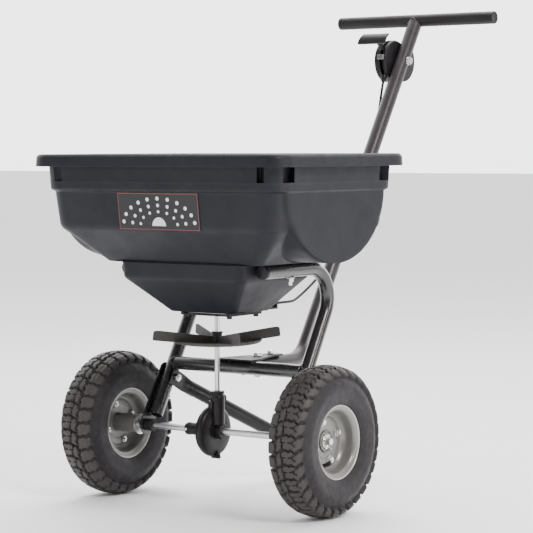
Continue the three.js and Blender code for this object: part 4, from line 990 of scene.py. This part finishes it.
def tyre_shape():
    outer, inner = tyre_profile()
    lengths = np.concatenate([[0], np.cumsum(np.linalg.norm(np.diff(outer, axis=0), axis=1))])
    w = lengths[-1] / 2 - lengths
    tangent = np.gradient(outer, axis=0)
    normal = np.stack([tangent[:, 1], -tangent[:, 0]], 1)
    normal /= np.linalg.norm(normal, axis=1)[:, None]
    normal *= np.where(np.sum(normal * (outer - (100, 0)), 1) < 0, -1, 1)[:, None]
    depth = TREAD_DEEP * np.clip((BAND_END - np.abs(w)) / (BAND_END - BLOCK_END), 0, 1)
    total = PITCHES * STEPS
    pitch = 2 * math.pi * WHEEL_R / PITCHES
    rings = []
    for i in range(total):
        s = i * pitch / STEPS
        sink = depth * (1 - tread_height(w, s))
        lift = np.zeros(len(w))
        for row, shift in ((46, 0.0), (54, 0.5)):
            dash = step(((s / pitch + shift) % 1), 0.5, 0.08) * (1 - step(np.abs(np.abs(w) - row), 1.3, 0.8))
            lift = np.maximum(lift, 0.8 * dash)
        for row in (64, 72):
            lift = np.maximum(lift, 0.5 * (1 - step(np.abs(np.abs(w) - row), 0.8, 0.8)))
        line = np.concatenate([outer + normal * (lift - sink)[:, None], inner])
        a = 2 * math.pi * i / total
        rings.append(np.stack([line[:, 1], -line[:, 0] * math.cos(a), line[:, 0] * math.sin(a)], 1) + WHEEL)
    return Shape().rings(rings, closed=True)


pair("tyre", tyre_shape(), RUBBER, "drive_axle", "free_wheel", sharp=60)

# Each rim is two pressed halves bolted back to back.
rim_line = [(HUB_R + GAP, 1.6), (30, 1.6), (31.5, 2.6), (42, 2.6), (43.5, 1.6), (47, 1.6), (53.2, 8),
            (54, 23), (58, 27.5), (64, 29), (65.4, 30.6), (66, 29.4), (65, 27.4), (59.5, 25.6),
            (56, 22), (55.6, 0.2), (HUB_R + GAP, 0.2)]
rim_soft = [0.3, 1, 1, 1, 1, 2, 5, 3, 3, 1.5, 0.9, 0.9, 1.5, 2, 2, 0.3, 0.3]
rim_outer = ring_of(soften(rim_line, rim_soft, 4, closed=True), WHEEL, (1, 0, 0), 120)
rim_inner = rim_outer.mirrored().moved((2 * WHEEL_X, 0, 0))
pair("rim_outer_half", rim_outer, RIM_PAINT, "drive_axle", "free_wheel")
pair("rim_inner_half", rim_inner, RIM_PAINT, "drive_axle", "free_wheel")


def wheel_point(x, radius, turn):
    """A point of the wheel: turn 0 is up and a quarter turn is towards the front."""
    return WHEEL + (x, -radius * math.sin(turn), radius * math.cos(turn))


VALVE_TURN = math.radians(140)
valve_from, valve_to = wheel_point(8, 57, VALVE_TURN), wheel_point(32, 42, VALVE_TURN)
length = np.linalg.norm(valve_to - valve_from)
stem = turned(
    soften([(0, 0), (5.6, 0), (5.6, 3), (4.0, 5), (3.6, length - 11), (3.2, length - 11), (3.2, length - 9.5),
            (4.0, length - 9.5), (4.0, length - 1.5), (2.6, length), (0, length)],
           [0, 0.6, 0.8, 0.8, 0.2, 0.1, 0.1, 0.4, 1, 0.8, 0], 3),
    valve_from, valve_to - valve_from, 40)
pair("valve_stem", stem, BLACK_PLASTIC, "drive_axle", "free_wheel")


# Four bolts and nuts hold each rim's halves together.
CLAMP_R, CLAMP_TURN = 36, 19
bolts, nuts = Shape(), Shape()
for k in range(4):
    turn = math.radians(CLAMP_TURN + 90 * k)
    bolts.join(hex_head(wheel_point(3.4, CLAMP_R, turn), (1, 0, 0), 11, 4.4))
    bolts.join(washer_under(wheel_point(2.6, CLAMP_R, turn), (1, 0, 0), 8, 0.9, 3.2))
    bolts.join(rod(wheel_point(-10.5, CLAMP_R, turn), wheel_point(3.6, CLAMP_R, turn), 3, 0.5, 24))
    nuts.join(hex_head(wheel_point(-2.7, CLAMP_R, turn), (-1, 0, 0), 11, 5))
for side, body in (("right", "drive_axle"), ("left", "free_wheel")):
    piece(f"{side}_wheel_clamp_bolts", bolts, ZINC_BOLT, body)
    piece(f"{side}_wheel_clamp_nuts", nuts, ZINC_BOLT, body)
    bolts, nuts = bolts.mirrored(), nuts.mirrored()

# The right hub is pinned to the axle, and the left one turns on flanged bearings.
weld_ring = [WHEEL + (3.2, (HUB_R + 1) * math.cos(a), (HUB_R + 1) * math.sin(a))
             for a in np.radians(range(0, 360, 5))]
hub = collar((HUB_IN, 0, AXLE_Z), (HUB_OUT, 0, AXLE_Z), AXLE_R + GAP, HUB_R, 0.9, 72)
hub.join(bead(weld_ring, 1.8))
piece("right_hub", hub, RIM_PAINT, "drive_axle")
BEARING_R = 11.5
left_hub = collar((-HUB_OUT, 0, AXLE_Z), (-HUB_IN, 0, AXLE_Z), BEARING_R + GAP, HUB_R, 0.9, 72)
left_hub.join(bead([(-x, y, z) for x, y, z in weld_ring], 1.8))
piece("left_hub", left_hub, RIM_PAINT, "free_wheel")
pin_x = HUB_IN + 10
drive_pin = rod((pin_x, 0, AXLE_Z - HUB_R - 2), (pin_x, 0, AXLE_Z + HUB_R + 2), 3, 0.8, 28)
drive_pin.join(hex_head((pin_x, 0, AXLE_Z + HUB_R + 0.2), (0, 0, 1), 10, 4))
piece("hub_drive_bolt", drive_pin, ZINC_BOLT, "drive_axle")
bearing_x = ends("left_inner_bearing")[1][0]
bearing = ring_of(
    soften([(AXLE_R + GAP, 0), (10, 0), (10, 0.8), (15.4, 0.8), (15.4, 0), (19, 0), (19, 4), (BEARING_R, 4),
            (BEARING_R, 15), (AXLE_R + GAP, 15)], 0.4, closed=True),
    (bearing_x, 0, AXLE_Z), (-1, 0, 0), 72)
piece("left_inner_bearing", bearing, ZINC, "free_wheel")
bearing = collar((-HUB_OUT, 0, AXLE_Z), (-HUB_OUT + 12, 0, AXLE_Z), AXLE_R + GAP, BEARING_R, 0.5, 64)
piece("left_outer_bearing", bearing, ZINC, "free_wheel")

# ---------------------------------------------------------------- flow control, drawn about the lever's pivot
PIVOT = np.array([0, CTRL_Y, CTRL_Z])
DRUM_OUT, DRUM_IN = -37.5, -POLE_R - GAP
DRUM_BACK = 4
LEVER_X, LEVER_ANGLE, STOP_ANGLE = -24, math.radians(144), math.radians(170)
SLOT_HALF = 4
ARM = 72


def spun(shape, angle):
    """Turned about the pivot's axis, from +Y towards +Z."""
    x, y, z = np.concatenate(shape.points).T
    c, s = math.cos(angle), math.sin(angle)
    return Shape().add(np.stack([x, y * c - z * s, y * s + z * c], 1), shape.faces)


shell = soften([(4.4, DRUM_IN - 3), (4.4, DRUM_IN), (DRUM_R, DRUM_IN), (DRUM_R, DRUM_OUT + 4.5),
                (DRUM_R - 0.8, DRUM_OUT + 4), (DRUM_R - 0.8, DRUM_OUT + 3.2), (DRUM_R, DRUM_OUT + 2.7),
                (DRUM_R, DRUM_OUT), (DRUM_R - 2.5, DRUM_OUT), (DRUM_R - 2.5, DRUM_IN - 3)],
               [0.3, 0.3, 2.4, 0.3, 0.2, 0.2, 0.3, 0.4, 0.4, 0.3], 5, closed=True)
drum = ring_of(shell, (0, 0, 0), (1, 0, 0), 96)
slot_outline = arc(0, 0, 31, 84, 222, 39) + arc(0, 0, 60, 222, 84, 39)
slot = plate_x(slot_outline, LEVER_X - SLOT_HALF, LEVER_X + SLOT_HALF)
pole_down = np.array([0, -1, -POLE_SLOPE]) / math.hypot(1, POLE_SLOPE)
behind = np.array([0, POLE_SLOPE, -1]) / math.hypot(1, POLE_SLOPE)
wrap_profile = [(0, DRUM_IN - 1), (DRUM_R, DRUM_IN - 1), (DRUM_R, DRUM_BACK), (0, DRUM_BACK)]
wrap = turned(soften(wrap_profile, [0, 0.3, 2.4, 0], 4), (0, 0, 0), (1, 0, 0), 96)
front_half = [(-60, -60), (60, -60), (60, 0), (-60, 0)]
in_front = prism(front_half, (1, 0, 0), pole_down, behind, (DRUM_IN - 2, 0, 0), 32)
pole_room = rod(-60 * pole_down, 60 * pole_down, POLE_R + GAP, 0.2, 64)
wrap = boolean(wrap, [in_front, pole_room])
housing = boolean(drum, [slot]).join(wrap)
gland_from = np.array([-25, -29, -30.0])
gland_way = unit((0, -0.3, -1))
gland = soften([(0, -2), (6.2, -2), (6.2, 5), (5, 7), (5, 12), (0, 12)], 0.7)
housing.join(turned(gland, gland_from, gland_way, 40))
slot_left, slot_right = LEVER_X - SLOT_HALF, LEVER_X + SLOT_HALF
band = arc(0, 0, DRUM_R - 0.2, 82, 224, 50) + arc(0, 0, DRUM_R + 0.8, 224, 82, 50)
for x0, x1 in ((slot_left - 1.2, slot_left), (slot_right, slot_right + 1.2)):
    housing.join(plate_x(band, x0, x1))
for k in range(11):
    length = 5 if k % 5 else 7
    mark = block((slot_left - length, DRUM_R - 0.3, -0.45), (slot_left - 1.8, DRUM_R + 0.4, 0.45))
    housing.join(spun(mark, math.radians(92 + 12 * k)))
piece("control_housing", housing.moved(PIVOT), BLACK_PLASTIC, sharp=40)

cover = turned(
    soften([(0, 0), (DRUM_R, 0), (DRUM_R, 2.4), (DRUM_R - 4, 3.2), (DRUM_R - 12, 6), (12, 6), (11, 4.6),
            (0, 4.6)],
           [0, 0.3, 1, 2, 3, 1, 0.6, 0], 5),
    (DRUM_OUT - GAP, 0, 0), (-1, 0, 0), 96)
for k in range(3):
    a = math.radians(90 + 120 * k)
    y, z = 36 * math.cos(a), 36 * math.sin(a)
    screw = soften([(0, 0), (2.6, 0), (2.6, 1.3), (0, 1.8)], [0, 0.3, 0.7, 0], 4)
    cover.join(turned(screw, (DRUM_OUT - 2.6, y, z), (-1, 0, 0), 28))
piece("control_cover", cover.moved(PIVOT), BLACK_PLASTIC, sharp=40)

bolt = hex_head((POLE_R + 1.6, 0, 0), (1, 0, 0), 13, 5.2)
bolt.join(washer_under((POLE_R + GAP, 0, 0), (1, 0, 0), 8.6, 1.3))
bolt.join(rod((DRUM_OUT - 10, 0, 0), (POLE_R + 2, 0, 0), SHANK_R))
piece("control_bolt", bolt.moved(PIVOT), ZINC_BOLT)
cover_nut = hex_head((DRUM_OUT - 6.2, 0, 0), (-1, 0, 0), 12, 4.2)
piece("control_nut", cover_nut.moved(PIVOT), ZINC_BOLT)

lever_hub = turned(soften([(0, -6.5), (13, -6.5), (13, 6), (0, 6)], 1), (LEVER_X, 0, 0), (1, 0, 0), 64)
lever = boolean(lever_hub, [rod((LEVER_X - 20, 0, 0), (LEVER_X + 20, 0, 0), SHANK_R + GAP)])
arm_edge = soften([(8, -5.2), (ARM + 1, -4.4), (ARM + 1, 4.4), (8, 5.2)], 0.6, closed=True)
lever.join(plate_x(arm_edge, LEVER_X - 1.1, LEVER_X + 1.1))
for edge in (-1, 1):
    flange = [(9, edge * 3.2), (ARM, edge * 2.6), (ARM, edge * 4.6), (9, edge * 5.4)]
    lever.join(plate_x(flange, LEVER_X - 2.6, LEVER_X + 2.6))
paddle = []
for t in np.linspace(-1, 1, 25):
    v = 1 + 12 * t
    u = ARM + 1.2 + 3.4 * (1 - ((v - 1) / 12) ** 2)
    paddle.append((u, v))
paddle += [(u + 4.2, v) for u, v in reversed(paddle)]
paddle = np.array(soften(paddle, 0.8, 2, closed=True))
slant = 7 * (13 - paddle[:, 1]) / 24
left_end = np.column_stack([-63 + slant, paddle])
right_end = np.column_stack([np.full(len(paddle), 3.0), paddle])
lever.join(Shape().rings([left_end, right_end]))
WEB_FROM = 56
for dx in (-14, 14):
    web = [(0, 0), (dx, ARM + 2 - WEB_FROM), (0, ARM + 2 - WEB_FROM)]
    lever.join(prism(web, (0, 0, 1), (1, 0, 0), (0, 1, 0), (LEVER_X, WEB_FROM, -1.2), 2.4))
piece("control_lever", spun(lever, LEVER_ANGLE).moved(PIVOT), BLACK_PLASTIC, "lever", bevel=0.5)

stop = block((LEVER_X - 7, DRUM_R + 1.2, -5), (LEVER_X + 7, DRUM_R + 5, 5))
for z in (-3.4, -1.1, 1.2, 3.5):
    stop.join(block((LEVER_X - 6.6, DRUM_R + 4.6, z - 0.6), (LEVER_X + 6.6, DRUM_R + 6.1, z + 0.6)))
stop.join(block((LEVER_X - 3.2, DRUM_R - 5, -3.4), (LEVER_X + 3.2, DRUM_R + 2, 3.4)))
stop.join(block((LEVER_X - 6, DRUM_R - 7, -4), (LEVER_X + 6, DRUM_R - 4, 4)))
piece("rate_stop", spun(stop, STOP_ANGLE).moved(PIVOT), GREY_PLASTIC, "rate_stop", bevel=0.4)

# ---------------------------------------------------------------- control cable and its ties
WIRE_Z = FLOOR_Z - 0.6 + 3.5
gland_end = gland_from + gland_way * 12.3 + PIVOT
path = [gland_end, gland_end + gland_way * 14]
# Down the pole: X, how far behind the pole's line, and Z.
for x, away, z in ((-23.5, 5, 742), (-19, 8, 716), (-13.5, 13, 690), (-11.4, 14.3, 660), (-11.4, 14.3, 560),
                   (-11.4, 14.3, 480), (-16, 8, 430), (-17.5, -14, 382)):
    path.append(np.array([x, pole_y(z), z]) + behind * away)
path += [(-9, 262, 359), (-2, 236, WIRE_Z + 0.3), (0, 206, WIRE_Z), (0, 172.3, WIRE_Z)]
path = [np.asarray(p, float) for p in path]


def catmull(points, per=14):
    """The centripetal Catmull-Rom curve through the points, with directions."""
    ext = [2 * points[0] - points[1], *points, 2 * points[-1] - points[-2]]
    made = []
    for i in range(1, len(ext) - 2):
        p0, p1, p2, p3 = ext[i - 1 : i + 3]
        t1 = np.linalg.norm(p1 - p0) ** 0.5
        t2 = t1 + np.linalg.norm(p2 - p1) ** 0.5
        t3 = t2 + np.linalg.norm(p3 - p2) ** 0.5
        for t in np.linspace(t1, t2, per, endpoint=False):
            a1 = (t1 - t) / t1 * p0 + t / t1 * p1
            a2 = (t2 - t) / (t2 - t1) * p1 + (t - t1) / (t2 - t1) * p2
            a3 = (t3 - t) / (t3 - t2) * p2 + (t - t2) / (t3 - t2) * p3
            b1 = (t2 - t) / t2 * a1 + t / t2 * a2
            b2 = (t3 - t) / (t3 - t1) * a2 + (t - t1) / (t3 - t1) * a3
            made.append((t2 - t) / (t2 - t1) * b1 + (t - t1) / (t2 - t1) * b2)
    return made + [points[-1]]


cable_points = catmull(path)
cable_line = []
for i, point in enumerate(cable_points):
    before, after = cable_points[max(i - 1, 0)], cable_points[min(i + 1, len(cable_points) - 1)]
    cable_line.append((point, unit(after - before)))
piece("control_cable", swept(cable_line, 2.6, sides=28), BLACK_PLASTIC)
wire = rod((0, 116, WIRE_Z), (0, 174, WIRE_Z), 0.8, 0.1, 20)
piece("cable_wire", wire, ZINC_BOLT, "gate")

TIE_GAP, CABLE_ROUND = 0.6, 3.2
for i, z in enumerate((600, 480)):
    spot = np.array([0, pole_y(z), z])
    nearest = min(cable_points, key=lambda q: abs((q - spot) @ pole_down))
    third = np.cross(pole_down, RIGHTWARD)
    cable_at = np.array([(nearest - spot) @ RIGHTWARD, (nearest - spot) @ third])
    away = math.atan2(cable_at[1], cable_at[0])
    swing = math.acos((POLE_R + TIE_GAP - CABLE_ROUND) / np.linalg.norm(cable_at))
    round_pole = np.linspace(away + swing, away + 2 * math.pi - swing, 40)
    round_cable = np.linspace(away - swing, away + swing, 14)
    loop = [(POLE_R + TIE_GAP) * np.array([math.cos(a), math.sin(a)]) for a in round_pole]
    loop += [cable_at + CABLE_ROUND * np.array([math.cos(a), math.sin(a)]) for a in round_cable]
    rings = []
    for k, q in enumerate(loop):
        tangent = unit(loop[(k + 1) % len(loop)] - loop[k - 1])
        outward = np.array([tangent[1], -tangent[0]])
        corners = []
        for thick, wide in ((0, -2.2), (1.1, -2.2), (1.1, 2.2), (0, 2.2)):
            flat = q + outward * thick
            corners.append(spot + RIGHTWARD * flat[0] + third * flat[1] + pole_down * wide)
        rings.append(corners)
    tie = Shape().rings(rings, closed=True)
    head = spot - third * (POLE_R + 2.4)
    tie.join(prism([(-2.6, -3), (2.6, -3), (2.6, 3), (-2.6, 3)], third, RIGHTWARD, pole_down, head, 3.2))
    piece(f"cable_tie_{i + 1}", tie, BLACK_PLASTIC)

# ---------------------------------------------------------------- CAD pieces that stay
stays = {sub["node"]: sub["material_slot"] for sub in frame["record"]["subparts"]}
for node, obj in frame["nodes"].items():
    if not obj.hide_render:
        obj.data.materials.clear()
        obj.data.materials.append(SLOT_FINISH[stays[node]])

# ---------------------------------------------------------------- camera
yaw, pitch, roll = math.radians(35.92), math.radians(3.22), math.radians(-0.19)
right = Vector((math.cos(yaw), math.sin(yaw), 0))
ahead = Vector((-math.sin(yaw), math.cos(yaw), 0))
up = Vector((0, 0, 1))
forward = ahead * math.cos(pitch) - up * math.sin(pitch)
upright = ahead * math.sin(pitch) + up * math.cos(pitch)
cam_right = right * math.cos(roll) + upright * math.sin(roll)
cam_up = -right * math.sin(roll) + upright * math.cos(roll)
camera = object_of(bpy.data.cameras.new("camera"))
camera.data.lens = 144.6
camera.data.sensor_width = 36
turn = Matrix((cam_right, cam_up, -forward)).transposed().to_4x4()
camera.matrix_world = Matrix.Translation((2.3404, -3.3228, 0.6504)) @ turn
camera.data.clip_end = 100
bpy.context.scene.camera = camera

# ---------------------------------------------------------------- floor and light
DIM, BRIGHT = 0.14, 3.8
BACKDROP_TILT = math.radians(26)
FLOOR_HALF, FLOOR_Z_METRES = 40, -0.0006
floor_mesh = bpy.data.meshes.new("floor")
low, high = -FLOOR_HALF, FLOOR_HALF
floor_corners = [(x, y, FLOOR_Z_METRES) for x, y in ((low, low), (high, low), (high, high), (low, high))]
floor_mesh.from_pydata(floor_corners, [], [(0, 1, 2, 3)])
paper = finish_of("floor_paper", None, (0.92, 0.92, 0.92), (0.94, 0.94, 0.94), 0.8, blotch=2, grain=300,
    relief=0.00002)
floor_mesh.materials.append(paper)
object_of(floor_mesh)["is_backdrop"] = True

# The backdrop behind the machine is the brightest part of the studio, and the side opposite it is dim.
world = bpy.data.worlds.new("studio")
world.use_nodes = True
studio = Tree(world)
background = studio.nodes["Background"].inputs
brightest = ahead * math.cos(BACKDROP_TILT) + up * math.sin(BACKDROP_TILT)
view = studio.add("TexCoord", {})["Generated"]
towards = studio.add("VectorMath", {0: view, 1: brightest}, operation="DOT_PRODUCT")["Value"]
studio.give(background["Color"], (1, 1, 1))
studio.give(background["Strength"], studio.remap(towards, DIM, BRIGHT, 0.05, 0.9))
bpy.context.scene.world = world


def softbox(name, place, target, size_x, size_y, watts, colour=(1, 1, 1)):
    lamp = bpy.data.lights.new(name, "AREA")
    lamp.shape = "RECTANGLE"
    lamp.size, lamp.size_y, lamp.energy, lamp.color = size_x, size_y, watts, colour
    obj = object_of(lamp)
    obj.location = place
    obj.rotation_mode = "QUATERNION"
    obj.rotation_quaternion = (Vector(target) - Vector(place)).to_track_quat("-Z", "Y")
    obj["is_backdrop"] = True


softbox("key_right", (2.7, -0.9, 2.5), (0, 0, 0.4), 1.0, 1.0, 108, (1.0, 0.96, 0.93))
softbox("fill_front", (-0.9, -3.6, 1.2), (0, 0, 0.4), 2.4, 2.0, 35, (0.93, 0.94, 1.0))
softbox("side_low", (3.4, 0.3, 0.7), (0, 0, 0.35), 0.7, 1.2, 32, (1.0, 0.97, 0.93))
softbox("top", (-0.6, 1.2, 3.4), (0, 0.3, 0), 2.6, 2.6, 135)

low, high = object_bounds()
